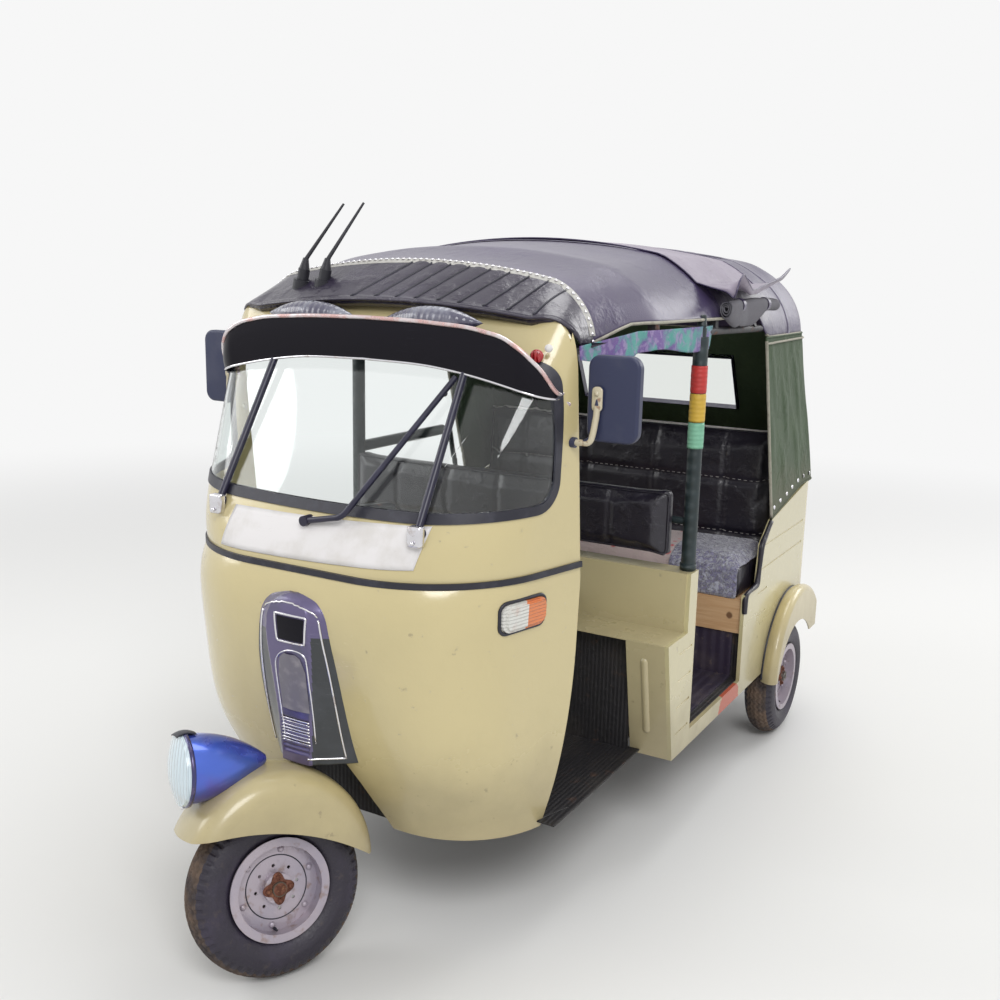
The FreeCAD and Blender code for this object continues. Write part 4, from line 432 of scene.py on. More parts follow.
def makeMetals():
    return {
        "bead": finish("brightBead", (0.52, 0.50, 0.55), 0.25, [
            clouds(30, (0.25, 0.22, 0.25), 0.5, 0.7)], Metallic=0.8),
        "chrome": finish("chromeTrim", (0.72, 0.71, 0.74), 0.14, [
            clouds(35, (0.38, 0.30, 0.25), 0.45, 0.6, 0.55, 0.75)], Metallic=1.0),
        "looking": finish("lookingGlass", (0.85, 0.87, 0.9), 0.03, [
            clouds(20, (0.6, 0.6, 0.6), 0.3, 0.4, 0.6, 0.8)], Metallic=1.0),
        "black": finish("blackSteel", (0.022, 0.021, 0.026), 0.5, [
            dirtAndShade(0.2, 0.75, 8, (0.11, 0.085, 0.06), 0.85, 0.75), clouds(26, rust, 0.85, 0.5, 0.58, 0.7),
            worn(0.003, 50, (0.2, 0.11, 0.07), 0.75, 0.6)], [lumps(60, 0.0008)]),
        # The floor pan and wheel well are nearly black: their own black steel, and painted shade of the
        # footwell and wheel arch.
        "floorBlackAndShade": finish("floorSteelAndShade", (0.012, 0.011, 0.013), 0.6, [
            clouds(6, (0.03, 0.025, 0.022), 0.8, 0.7), clouds(26, (0.10, 0.05, 0.03), 0.85, 0.4, 0.6, 0.72)],
            [ridges((1, 0, 0), 0.012, 0.0006), lumps(60, 0.0008)]),
        "steel": finish("greasySteel", (0.28, 0.26, 0.24), 0.42, [
            clouds(18, (0.05, 0.042, 0.035), 0.55, 0.8, 0.4, 0.6), clouds(70, rust, 0.85, 0.6, 0.55, 0.7)],
            [lumps(90, 0.0006)], Metallic=0.7),
        "engine": finish("castMetal", (0.30, 0.29, 0.28), 0.5, [
            clouds(11, (0.04, 0.035, 0.03), 0.6, 0.85, 0.38, 0.6),
            dirtAndShade(0.2, 0.5, 9, (0.12, 0.09, 0.06), 0.9, 0.7)],
            [pores(180, 0.0006)], Metallic=0.6),
        "rusty": finish("rustyHub", (0.22, 0.085, 0.055), 0.8, [
            clouds(60, (0.10, 0.035, 0.02), 0.9, 0.8, 0.4, 0.6),
            clouds(110, (0.35, 0.17, 0.09), 0.85, 0.7, 0.55, 0.7)],
            [lumps(130, 0.0018)], Metallic=0.3),
        # The lamp housing's cyan clouds are a painted highlight, and its darker violet band towards the
        # bottom is painted shade.
        "housing": finish("lampHousing", (0.085, 0.085, 0.52), 0.24, [
            clouds(7, (0.05, 0.14, 0.62), 0.3, 0.8, 0.4, 0.65),
            dirtAndShade(0.44, 0.52, 20, (0.10, 0.07, 0.2), 0.5, 0.5, 0.1)],
            Metallic=0.55, Coat_Weight=0.8, Coat_Roughness=0.06),
        "lampRing": finish("lampRing", (0.035, 0.035, 0.13), 0.2, [
            clouds(30, (0.12, 0.08, 0.16), 0.4, 0.6, 0.5, 0.7)], Metallic=0.5, Coat_Weight=0.6),
        "visorLip": finish("visorLip", (0.62, 0.40, 0.38), 0.28, [
            clouds(25, (0.75, 0.74, 0.76), 0.2, 0.8, 0.4, 0.6)], Metallic=0.55),
    }


def makeCloths():
    return {
        "vinyl": finish("canopyVinyl", (0.046, 0.033, 0.085), 0.32, [
            clouds(3, (0.070, 0.054, 0.118), 0.42, 0.7),
            clouds(30, (0.10, 0.09, 0.12), 0.58, 0.35, 0.55, 0.8),
            lines(5, (0.17, 0.16, 0.19), 0.6, 0.4, (12, 1, 6))], [pores(520, 0.00035), lumps(12, 0.002)],
            Coat_Weight=0.35, Coat_Roughness=0.28),
        "peakVinyl": finish("peakVinyl", (0.028, 0.022, 0.042), 0.22, [
            clouds(7, (0.05, 0.042, 0.07), 0.34, 0.6), lines(6, (0.12, 0.11, 0.14), 0.5, 0.4, (1, 9, 4))],
            [pores(460, 0.0003), lumps(20, 0.002)], Coat_Weight=0.4, Coat_Roughness=0.2),
        "flap": finish("flapVinyl", (0.20, 0.165, 0.225), 0.42, [
            clouds(3, (0.32, 0.28, 0.35), 0.5, 0.8, 0.35, 0.7),
            clouds(24, (0.13, 0.11, 0.14), 0.6, 0.5, 0.55, 0.8),
            lines(5, (0.42, 0.40, 0.42), 0.6, 0.5, (10, 1, 5))], [pores(480, 0.0003), lumps(14, 0.003)],
            Coat_Weight=0.25, Coat_Roughness=0.3),
        "vinylUnder": finish("vinylUnderside", (0.13, 0.125, 0.145), 0.75, [
            clouds(8, (0.2, 0.2, 0.22), 0.8, 0.6)], [threads(2400, 0.0003)]),
        "canvas": finish("greenCanvas", (0.050, 0.082, 0.040), 0.85, [
            clouds(5, (0.070, 0.105, 0.055), 0.9, 0.8), clouds(40, (0.04, 0.06, 0.035), 0.9, 0.5, 0.5, 0.85),
            dirtAndShade(0.85, 1.05, 10, (0.12, 0.11, 0.07), 0.95, 0.5)], [threads(2100, 0.0002), lumps(16, 0.003)],
            Sheen_Weight=0.08),
        "hem": finish("hemTape", (0.42, 0.40, 0.33), 0.6, [
            clouds(60, (0.25, 0.23, 0.18), 0.7, 0.6)], [threads(3000, 0.0003)]),
        "strapTape": finish("strapTape", (0.50, 0.49, 0.46), 0.42, [
            clouds(40, (0.32, 0.30, 0.27), 0.6, 0.6)], [threads(2600, 0.0002)]),
        "tie": finish("dyedStrip", (0.15, 0.08, 0.30), 0.8, [
            clouds(18, (0.06, 0.36, 0.30), 0.8, 0.9, 0.42, 0.58),
            clouds(55, (0.32, 0.24, 0.46), 0.8, 0.7, 0.5, 0.62)],
            [threads(2800, 0.0003)], Sheen_Weight=0.2),
        "leather": finish("seatLeather", (0.012, 0.010, 0.018), 0.36, [
            clouds(9, (0.022, 0.019, 0.030), 0.48, 0.7), lines(8, (0.08, 0.08, 0.09), 0.6, 0.5)],
            [pores(420, 0.0005), lumps(20, 0.002)], Coat_Weight=0.2),
        "thread": finish("whiteThread", (0.62, 0.60, 0.58), 0.6, [clouds(90, (0.4, 0.38, 0.36), 0.7, 0.6)]),
        "dotted": finish("dottedCloth", (0.62, 0.50, 0.49), 0.9, [
            ("dots", {"Scale": 26, "Size": 0.33}, (0.62, 0.10, 0.11), 0.9, 0.9),
            clouds(12, (0.42, 0.34, 0.34), 0.95, 0.5)], [threads(2600, 0.0004), lumps(30, 0.002)],
            Sheen_Weight=0.3),
        "plush": finish("plushCover", (0.20, 0.19, 0.30), 0.95, [
            clouds(70, (0.46, 0.47, 0.56), 0.95, 0.9, 0.45, 0.58), clouds(11, (0.10, 0.09, 0.20), 0.95, 0.6)],
            [lumps(120, 0.006)], Sheen_Weight=0.8, Sheen_Roughness=0.5),
    }


def makeRubbersAndLenses():
    toBack, toLeft, upward = (0, 1, 0), (1, 0, 0), (0, 0, 1)
    made = {
        "rubber": finish("blackRubber", (0.012, 0.012, 0.022), 0.40, [
            clouds(22, (0.05, 0.05, 0.07), 0.6, 0.5)], [pores(700, 0.0002)]),
        "plastic": finish("blackPlastic", (0.016, 0.016, 0.022), 0.45, [
            clouds(14, (0.04, 0.04, 0.05), 0.6, 0.6)], [pores(800, 0.0002)]),
        "visor": finish("visorPlastic", (0.006, 0.005, 0.009), 0.28, [
            lines(6, (0.03, 0.03, 0.04), 0.5, 0.4)], Specular_IOR_Level=0.15),
        "tyre": finish("tyreRubber", (0.020, 0.016, 0.028), 0.46, [
            clouds(8, (0.038, 0.030, 0.055), 0.55, 0.8),
            clouds(40, (0.09, 0.07, 0.06), 0.8, 0.4, 0.58, 0.75)],
            [lumps(160, 0.0004)]),
        "tread": finish("tyreTread", (0.045, 0.035, 0.036), 0.8, [
            clouds(14, (0.17, 0.115, 0.08), 0.95, 0.8, 0.4, 0.65),
            clouds(60, (0.10, 0.075, 0.055), 0.95, 0.6, 0.5, 0.7)],
            [lumps(160, 0.0006)]),
        "mat": finish("ribbedMat", (0.026, 0.018, 0.040), 0.55, [
            clouds(10, (0.06, 0.045, 0.06), 0.7, 0.7), clouds(60, (0.16, 0.12, 0.10), 0.85, 0.5, 0.58, 0.75)],
            [ridges(toBack, 0.009, 0.0015), ridges(toLeft, 0.03, 0.0008)]),
        "wood": finish("orangeBoard", (0.60, 0.39, 0.22), 0.5, [
            ("woodGrain", {}, (0.47, 0.26, 0.12), 0.55, 0.6),
            stain((545, 1545, 545), 0.008, (0.12, 0.05, 0.02), 0.6, 0.9, 0.01)], [("woodGrain", {}, 0.0004)]),
        "post": finish("postWrap", (0.012, 0.022, 0.024), 0.45, [
            clouds(16, (0.025, 0.04, 0.045), 0.55, 0.7)], [ridges(upward, 0.035, 0.0012)]),
        "lens": finish("lampLens", (0.66, 0.78, 0.84), 0.12, [
            clouds(20, (0.6, 0.58, 0.52), 0.35, 0.5, 0.5, 0.8)], [ridges((0.86, 0.5, 0), 0.009, 0.0012)],
            Coat_Weight=0.8),
        "clearLamp": finish("clearLamp", (0.10, 0.095, 0.16), 0.12, [
            clouds(13, (0.42, 0.44, 0.52), 0.2, 0.75, 0.4, 0.62)], [ridges(toLeft, 0.016, 0.0009)],
            Transmission_Weight=0.25, Coat_Weight=0.9),
        "indicator": finish("indicatorLens", (0.70, 0.70, 0.66), 0.16, [
            ("band", {"Direction": toBack, "From": float(toFrame((0, 331, 0))[1]), "To": 2.0},
             (0.72, 0.20, 0.05), 0.18, 1.0), clouds(30, (0.45, 0.16, 0.06), 0.3, 0.35)],
            [ridges(upward, 0.008, 0.0009)],
            Coat_Weight=0.7),
        "red": finish("redLens", (0.45, 0.015, 0.02), 0.15, [
            clouds(30, (0.25, 0.01, 0.01), 0.3, 0.5)], [ridges(toLeft, 0.008, 0.001)], Coat_Weight=0.7),
        "glass": glassFinish("windowGlass", (0.92, 0.96, 0.95), 0.02, 1.45, 0.06),
        "pane": glassFinish("clearPane", (0.84, 0.87, 0.84), 0.12, 1.2, 0.25),
    }
    for look, color, shade in (("wrapRed", (0.50, 0.035, 0.03), (0.35, 0.03, 0.03)),
                               ("wrapYellow", (0.62, 0.40, 0.05), (0.45, 0.28, 0.05)),
                               ("wrapMint", (0.22, 0.50, 0.34), (0.14, 0.35, 0.25))):
        made[look] = finish(look, color, 0.5, [clouds(30, shade, 0.6, 0.5)], [ridges(upward, 0.012, 0.0005)])
    return made


makeCamera()
makeGroups()
makeStudio()
paint = {**makePaints(), **makeMetals(), **makeCloths(), **makeRubbersAndLenses()}
print("camera, studio and", len(paint), "materials ready")

# Which finish each CAD node that stays wears.
nodeFinish = {
    "cream": "windscreen_surround rear_panel engine_hatch rear_fenders front_mudguard",
    "creamNose": "nose_shell",
    # the side panels' cream carries painted shade
    "creamSideShaded": "left_side_panel right_side_panel",
    # the inner panels' cream carries painted shade
    "creamInnerShaded": "partition rear_bulkhead",
    "rubber": "windscreen_rubber waist_bead",
    "glass": "windscreen_glass",
    "indicator": "indicators",
    "strapTape": "roof_strap",
    "bead": "rear_bumper",
    "clearLamp": "roof_lamps",
    "navy": "screen_bars wiper",
    "plastic": "aerials",
    "mirror": "mirrors",
    # near-black, partly painted shade
    "floorBlackAndShade": "floor_pan wheel_well",
    "black": "canopy_frame chassis_frame front_fork handlebar",
    "mat": "floor_mat",
    "post": "side_posts",
    "wood": "bench_board",
    "engine": "engine",
    "steel": "rear_axle rear_dampers front_damper",
    "red": "tail_lamps",
    "rim": "rear_left_rim rear_right_rim front_rim",
    "housing": "headlamp",
    "lens": "headlamp_lens",
}
for look, names in nodeFinish.items():
    for name in names.split():
        for place in nodes[name].material_slots:
            place.material = paint[look]
print("carried nodes painted")


# The surface of a grid of points, rows x columns x 3, wrapped round in either direction if asked.
def surface(points, wrapRows=False, wrapColumns=False):
    rows, columns = points.shape[:2]
    i, j = np.meshgrid(np.arange(rows if wrapRows else rows - 1),
                       np.arange(columns if wrapColumns else columns - 1), indexing="ij")
    i, j = i.ravel(), j.ravel()
    nextI, nextJ = (i + 1) % rows, (j + 1) % columns
    quads = np.stack([i * columns + j, nextI * columns + j, nextI * columns + nextJ, i * columns + nextJ],
                     axis=1)
    return points.reshape(-1, 3), [tuple(quad) for quad in quads.tolist()]


def unit(vectors):
    return vectors / (np.linalg.norm(vectors, axis=-1, keepdims=True) + 1e-12)


# How far along a line of points each point is.
def runOf(points):
    return np.concatenate([[0], np.cumsum(np.linalg.norm(np.diff(points, axis=0), axis=1))])


# A table's columns read between its rows, at new places along its run.
def between(where, run, table):
    return np.stack([np.interp(where, run, table[:, k]) for k in range(table.shape[1])], axis=1)


# The same for a grid: rows of values by fractional row number, each column by itself.
def betweenRows(spot, table):
    low = spot.astype(int)
    mix = (spot - low)[..., None]
    columns = np.broadcast_to(np.arange(table.shape[1]), spot.shape)
    return table[low, columns] * (1 - mix) + table[low + 1, columns] * mix


# Left half and its mirror image, from the left edge over the middle to the right one.
def mirrored(left):
    return np.concatenate([left, left[:, -2::-1] * [-1, 1, 1]], axis=1)


# A path through the given points: a Catmull-Rom curve, sampled evenly in its parameter.
def smoothPath(points, steps=8):
    p = np.asarray(points, float)
    around = np.vstack([2 * p[:1] - p[1:2], p, 2 * p[-1:] - p[-2:-1]])
    t = np.linspace(0, 1, steps, endpoint=False)[None, :, None]
    a, b, c, d = (around[k:k + len(p) - 1, None, :] for k in range(4))
    curve = 0.5 * (2 * b + (c - a) * t + (2 * a - 5 * b + 4 * c - d) * t ** 2 +
                   (3 * b - a - 3 * c + d) * t ** 3)
    return np.vstack([curve.reshape(-1, p.shape[1]), p[-1:]])


# A smooth curve through rows of values: a cubic with the slopes of its neighbours, at new heights.
def smoothRows(at, values, new):
    slope = np.gradient(values, at)
    k = np.clip(np.searchsorted(at, new) - 1, 0, len(at) - 2)
    gap = at[k + 1] - at[k]
    t = (new - at[k]) / gap
    return ((2 * t ** 3 - 3 * t ** 2 + 1) * values[k] + (t ** 3 - 2 * t ** 2 + t) * gap * slope[k] +
            (3 * t ** 2 - 2 * t ** 3) * values[k + 1] + (t ** 3 - t ** 2) * gap * slope[k + 1])


# A section swept along a path: each of its points is path + across * its first number + upward * its second,
# with across and upward square to the path. Open ends are closed by a fan at their middle, or strip by strip
# where the section is a band doubled back on itself.
def sweep(path, section, closed=False, upright=(0, 0, 1), doubled=False):
    path = np.asarray(path, float)
    tangent = unit(np.roll(path, -1, 0) - np.roll(path, 1, 0) if closed else np.gradient(path, axis=0))
    across = np.cross(tangent, upright)
    weak = np.linalg.norm(across, axis=1) < 0.05
    across[weak] = np.cross(tangent[weak], (0, 1, 0.1))
    for k in range(1, len(path)):
        if across[k] @ across[k - 1] < 0:
            across[k] *= -1
    across = unit(across)
    upward = np.cross(across, tangent)
    section = np.asarray(section, float)
    ring = section if section.ndim == 3 else np.broadcast_to(section, (len(path), *section.shape))
    points = path[:, None] + across[:, None] * ring[..., :1] + upward[:, None] * ring[..., 1:]
    verts, faces = surface(points, wrapRows=closed, wrapColumns=True)
    n, count = ring.shape[1], len(verts)
    last = count - n
    if doubled:
        for k in range(n // 2 - 1):
            faces.append((k, k + 1, n - 2 - k, n - 1 - k))
            faces.append((last + n - 1 - k, last + n - 2 - k, last + k + 1, last + k))
    elif not closed:
        verts = np.vstack([verts, points[0].mean(0), points[-1].mean(0)])
        faces += [(k, (k + 1) % n, count) for k in range(n)]
        faces += [(last + (k + 1) % n, last + k, count + 1) for k in range(n)]
    return verts, faces


def circle(sides):
    turn = np.linspace(0, 2 * np.pi, sides, endpoint=False)
    return np.stack([np.cos(turn), np.sin(turn)], axis=1)


def tube(path, radius, sides=8, **settings):
    return sweep(path, circle(sides) * radius, **settings)


# Two directions square to an axis and to each other.
def squareTo(axis, start=(0, 0, 1)):
    side = unit(np.cross(axis, start))
    return side, np.cross(axis, side)


# A profile of (radius, distance along the axis) turned about an axis through a place.
def turned(profile, place, axis, sides=40):
    profile = np.asarray(profile, float)
    axis = unit(np.asarray(axis, float))
    side, third = squareTo(axis, (0, 0, 1) if abs(axis[2]) < 0.9 else (1, 0, 0))
    turn = circle(sides)
    ring = turn[:, :1] * side + turn[:, 1:] * third
    points = np.asarray(place, float) + profile[:, None, 1:] * axis + profile[:, None, :1] * ring[None]
    return surface(points, wrapColumns=True)


def coords(data, label="co"):
    out = np.empty(len(data) * 3)
    data.foreach_get(label, out)
    return out.reshape(-1, 3)


# Points nearer than this, in metres, are one point.
merge = {"distance": 0.00001}


# Makes the piece from shapes in drawing millimetres. Faces point outwards or, on open panes, all to the back.
def makePiece(name, shapes, look, body="cab", smooth=True, panes=False):
    verts, faces, count = [], [], 0
    for points, shapeFaces in shapes:
        verts.append(np.asarray(points, float))
        faces += [tuple(k + count for k in face) for face in shapeFaces]
        count += len(points)
    mesh = bpy.data.meshes.new(name)
    mesh.from_pydata(toFrame(np.vstack(verts)).tolist(), [], faces)
    work = bmesh.new()
    work.from_mesh(mesh)
    bmesh.ops.remove_doubles(work, verts=work.verts, dist=merge["distance"])
    bmesh.ops.dissolve_degenerate(work, dist=merge["distance"], edges=work.edges)
    if panes:
        work.normal_update()
        bmesh.ops.reverse_faces(work, faces=[face for face in work.faces if face.normal.y < 0])
    else:
        bmesh.ops.recalc_face_normals(work, faces=work.faces)
    work.to_mesh(mesh)
    work.free()
    if smooth:
        mesh.shade_smooth()
    mesh.materials.append(paint[look])
    obj = addObject(name, mesh)
    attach(obj, body)
    return obj


# Faces that chosen tells by their middles, in frame metres, wear the second look.
def paintFaces(piece, look, chosen):
    piece.data.materials.append(paint[look])
    middles = coords(piece.data.polygons, "center")
    piece.data.polygons.foreach_set("material_index", chosen(middles).astype(np.int32))


def wall(obj, thick, inward=True):
    solid = obj.modifiers.new("wall", "SOLIDIFY")
    solid.thickness = thick / 1000
    solid.offset = -1 if inward else 1
    solid.use_even_offset = True


def treeOf(*names):
    verts, faces, count = [], [], 0
    for name in names:
        mesh = nodes[name].data
        mesh.calc_loop_triangles()
        tri = np.empty(len(mesh.loop_triangles) * 3, np.int32)
        mesh.loop_triangles.foreach_get("vertices", tri)
        verts.append(coords(mesh.vertices))
        faces.append(tri.reshape(-1, 3) + count)
        count += len(mesh.vertices)
    return BVHTree.FromPolygons(np.vstack(verts).tolist(), np.vstack(faces).tolist())


def meshTree(mesh):
    return BVHTree.FromPolygons(coords(mesh.vertices).tolist(),
                                [tuple(face.vertices) for face in mesh.polygons])


# The first point of a tree met from a start in a direction, in drawing millimetres, lifted a little.
def meet(tree, start, direction, lift=0.0):
    aim = Vector(direction).normalized()
    hit = tree.ray_cast(Vector(toFrame(start)), aim)[0]
    return None if hit is None else toDrawing(hit) - np.array(aim) * lift


# The roof's half sections, a row each: y, edge x and z, shoulder x and z, top x and z, the middle's height.
roof = {"rows": [(440, 496, 1462, 470, 1500, 400, 1516, 1543), (560, 494, 1453, 456, 1546, 388, 1593, 1632),
                 (800, 562, 1490, 506, 1570, 400, 1634, 1675), (1170, 582, 1495, 520, 1576, 400, 1662, 1702),
                 (1750, 590, 1440, 535, 1560, 410, 1656, 1700),
                 (2450, 590, 1440, 535, 1560, 410, 1656, 1700)], "hull": 590, "counts": (8, 20, 26),
        "bows": (560, 800, 1170, 1500, 1740, 1900), "sag": 7, "peakBack": 560, "back": 2330, "backFoot": 883,
        "lean": 27, "backTop": ((1503, 2014), (1625, 1925), (1702, 1780)), "corner": 100, "cornerSide": 490,
        "lowBack": 1427}


# Points on the arc through three points, from the first to the last.
def arcThrough(a, b, c, count):
    (ax, ay), (bx, by), (cx, cy) = a, b, c
    d = 2 * (ax * (by - cy) + bx * (cy - ay) + cx * (ay - by))
    aa, bb, cc = ax ** 2 + ay ** 2, bx ** 2 + by ** 2, cx ** 2 + cy ** 2
    ux = (aa * (by - cy) + bb * (cy - ay) + cc * (ay - by)) / d
    uy = (aa * (cx - bx) + bb * (ax - cx) + cc * (bx - ax)) / d
    start, middle, end = (math.atan2(q - uy, p - ux) for p, q in (a, b, c))
    turn = (end - start) % (2 * math.pi)
    if (middle - start) % (2 * math.pi) > turn:
        turn -= 2 * math.pi
    angles = start + turn * np.linspace(0, 1, count)
    radius = math.hypot(ax - ux, ay - uy)
    return np.array([[ux, uy]]) + radius * np.stack([np.cos(angles), np.sin(angles)], axis=1)


# Half a roof section at y, as (x, z) from the foot of its side up over the shoulder to the middle.
def roofHalf(y, foot):
    table = np.array(roof["rows"], float)
    ex, ez, sx, sz, tx, tz, mz = between([y], table[:, 0], table[:, 1:])[0]
    low, bend, top = roof["counts"]
    side = np.stack([np.full(low, ex), np.linspace(min(foot, ez), ez, low)], axis=1)
    shoulder = arcThrough((ex, ez), (sx, sz), (tx, tz), bend)
    crown = arcThrough((tx, tz), (0, mz), (-tx, tz), 2 * top - 1)[:top]
    half = np.vstack([side, shoulder[1:], crown[1:]])
    return half, runOf(half)


# The y of the back face at height z: a leaning plane, then an arc over on to the roof.
def backAt(z):
    z = np.asarray(z, float)
    lean = roof["back"] - (z - roof["backFoot"]) * math.tan(math.radians(roof["lean"]))
    curve = arcThrough(*roof["backTop"], 40)
    return np.where(z <= roof["backTop"][0][0], lean, np.interp(z, curve[:, 0], curve[:, 1]))


def cornerBack(x, z):
    out = np.clip(np.abs(x) - roof["cornerSide"], 0, roof["corner"])
    return backAt(z) - roof["corner"] + np.sqrt(roof["corner"] ** 2 - out ** 2)


# The foot is the canopy's lower edge as (y, z); "back" is its foot on the back face as (part of the half, x).
canopy = {"across": 60, "along": 90, "stations": 160, "end": 2400, "backRows": 34, "wall": 3.0, "pipe": 4.0,
          "foot": ((560, 1453), (700, 1495), (1577, 1495), (1578, 1427), (2400, 1427)),
          "back": ((0, 590), (0.18, 560), (1, 0)), "ripple": 3.0, "smoothing": 4,
          "seams": (1170, 1740), "seam": ((-12, 0.4), (-9, 2.4), (9, 2.4), (12, 0.4))}


def readTable(where, pairs):
    return np.interp(where, *np.array(pairs, float).T)


# Roof sections at even y, clipped at the foot line: stations x columns x (x, z), the left half only.
def sectionTable(stations):
    table = []
    for y in stations:
        half, steps = roofHalf(y, 1400.0)
        half[:, 0] = np.minimum(half[:, 0], roof["hull"])
        foot = readTable(y, canopy["foot"])
        start = np.interp(foot, half[:14, 1], steps[:14]) if foot < half[13, 1] else steps[13]
        table.append(between(start + np.linspace(0, 1, canopy["across"] + 1) * (steps[-1] - start), steps,
                             half))
    smooth = np.array(table)
    for _ in range(canopy["smoothing"]):
        smooth[:, 1:-1] = 0.25 * smooth[:, :-2] + 0.5 * smooth[:, 1:-1] + 0.25 * smooth[:, 2:]
        smooth[1:-1, :] = 0.25 * smooth[:-2, :] + 0.5 * smooth[1:-1, :] + 0.25 * smooth[2:, :]
    smooth[:, :, 0] = np.minimum(smooth[:, :, 0], roof["hull"])
    return smooth


# Between bows the cloth sinks by sag times a half sine wave, most at the roof's middle and none at its edge.
def clothSag(y, part):
    bows = np.array(roof["bows"])
    k = np.clip(np.searchsorted(bows, y) - 1, 0, len(bows) - 2)
    phase = np.clip((y - bows[k]) / (bows[k + 1] - bows[k]), 0, 1)
    return roof["sag"] * np.sin(np.pi * phase) * np.clip(part * 2.2, 0, 1)


# Over the roof: rows run back from the peak to the back face, whose y depends on the column.
def canopyTop(part):
    stations = np.linspace(roof["peakBack"], canopy["end"], canopy["stations"])
    table = sectionTable(stations)
    yEnd = cornerBack(table[-1, :, 0], table[-1, :, 1])
    t = np.linspace(0, 1, canopy["along"])[:, None]
    y = roof["peakBack"] + t * (yEnd - roof["peakBack"])[None]
    xz = betweenRows(np.clip((y - stations[0]) / (stations[1] - stations[0]), 0, len(stations) - 1.001),
                     table)
    sag = clothSag(y, np.broadcast_to(part, y.shape))
    return np.stack([xz[..., 0] - 0.3 * sag * (xz[..., 0] / 600), y, xz[..., 1] - sag], axis=2)


def makeCanopy():
    part = np.linspace(0, 1, canopy["across"] + 1)
    top = canopyTop(part)
    # the back: each column runs down the back face to the lower edge, spread from corner to middle
    down = np.linspace(0, 1, canopy["backRows"])[1:, None]
    backX = top[-1, :, 0] + (readTable(part, canopy["back"]) - top[-1, :, 0]) * down
    backZ = top[-1, :, 2] + (roof["lowBack"] - top[-1, :, 2]) * down
    ripple = canopy["ripple"] * np.sin(backX / 61) * np.sin(np.pi * down) * np.clip(part * 3, 0, 1)
    left = np.vstack([top, np.stack([backX, cornerBack(backX, backZ) + ripple, backZ], axis=2)])
    whole = mirrored(left)
    roofCloth = makePiece("canopyCloth", [surface(whole)], "vinyl")
    wall(roofCloth, canopy["wall"])
    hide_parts("canopy")
    # a corded hem along each lower edge
    hem = []
    for side in (1, -1):
        line = left[::3, 0] * [side, 1, 1]
        hem.append(tube(line[line[:, 1] < 1590], canopy["pipe"]))
        hem.append(tube(left[:, 0][left[:, 0, 1] > 1584][::2] * [side, 1, 1], canopy["pipe"]))
    hem.append(tube(whole[-1, 4:-4:2], canopy["pipe"]))
    pipe = makePiece("canopyEdgePiping", hem, "hem")
    # taped seams over the bows, as (offset back, height off the cloth) across each tape
    tapes = []
    for bow in canopy["seams"]:
        middle = top[np.argmin(np.abs(top[:, canopy["across"] // 2, 1] - bow))]
        line = np.vstack([middle, middle[-2::-1] * [-1, 1, 1]])
        away = unit(line * [1, 0, 1] - [0, 0, 1200])
        tapes.append(surface(np.stack([line + away * lift + [0, back, 0] for back, lift in canopy["seam"]],
                                      axis=1)))
    tape = makePiece("canopySeamTape", tapes, "vinyl")


# The ribs run from front to back, at the x listed; the front edge is listed as (x, y).
peak = {"front": ((0, 430), (330, 431), (400, 434), (440, 446), (472, 467), (500, 510), (512, 548)),
        "back": 563, "across": 220, "along": 34, "puff": 2.6, "wall": 3.0, "rib": 3.0, "edge": 4.2,
        "ribFront": (-108, -35, 27, 82, 146, 204, 273, 336, 406),
        "ribBack": (-1, 57, 112, 167, 225, 278, 330, 381, 427),
        "ribEnds": (438, 552), "ribSteps": 14, "lip": ((7, -24), (-1, -16), (-4, -7), (-3, -2)),
        "stations": (430, 570, 30), "foot": 1452}


# Over the peak: the roof's section from the front edge back, with padded channels between sewn ribs.
def makePeak():
    stations = np.linspace(*peak["stations"])
    table = []
    for y in stations:
        half, steps = roofHalf(y, peak["foot"])
        table.append(between(np.linspace(0, 1, peak["across"] // 2 + 1) * steps[-1], steps, half))
    table = np.array(table)
    table = np.concatenate([table, table[:, -2::-1] * [-1, 1]], axis=1)
    frontY = readTable(np.abs(table[5, :, 0]), peak["front"])
    t = np.linspace(0, 1, peak["along"])[:, None]
    y = frontY + (peak["back"] - frontY) * t
    xz = betweenRows(np.clip((y - stations[0]) / (stations[1] - stations[0]), 0, len(stations) - 1.001),
                     table)
    x = xz[..., 0]
    ribFront, ribBack = np.array(peak["ribFront"]), np.array(peak["ribBack"])
    back = np.clip((y - 440) / 105, 0, 1)
    channel = np.full(x.shape, -1.0)
    for k in range(len(ribFront) - 1):
        low, high = (ribFront[n] + (ribBack[n] - ribFront[n]) * back for n in (k, k + 1))
        channel = np.where((x >= low) & (x < high), k + (x - low) / (high - low), channel)
    puff = np.where(channel >= 0, np.abs(np.sin(np.pi * channel)) ** 0.55, 0.35) * peak["puff"]
    puff *= np.clip((1 - t) * 9, 0, 1) * np.clip((y - frontY) / 9, 0.2, 1) * (xz[..., 1] > 1490)
    raised = xz + unit(xz - [0, 1300]) * (puff[..., None] + 1.5)
    top = np.stack([raised[..., 0], y, raised[..., 1]], axis=2)
    whole = np.vstack([top[0][None] + [0, back, up] for back, up in peak["lip"]] + [top])
    hood = makePiece("peakVinyl", [surface(whole)], "peakVinyl")
    wall(hood, peak["wall"])
    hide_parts("roof_peak")
    ribLines = []
    start, end = peak["ribEnds"]
    for front, back in zip(ribFront, ribBack):
        line = np.linspace((front, start), (back, end), peak["ribSteps"])
        height = []
        for px, py in line:
            half = roofHalf(py, peak["foot"])[0][::-1]
            height.append(np.interp(abs(px), half[:, 0], half[:, 1]) + 1.6)
        ribLines.append(tube(np.column_stack([line, height]), peak["rib"]))
    ribPiece = makePiece("peakRibs", ribLines, "rubber")
    edge = makePiece("peakEdgePiping", [tube(whole[2, 8:-8:2] + [0, -2, 0], peak["edge"])], "peakVinyl")


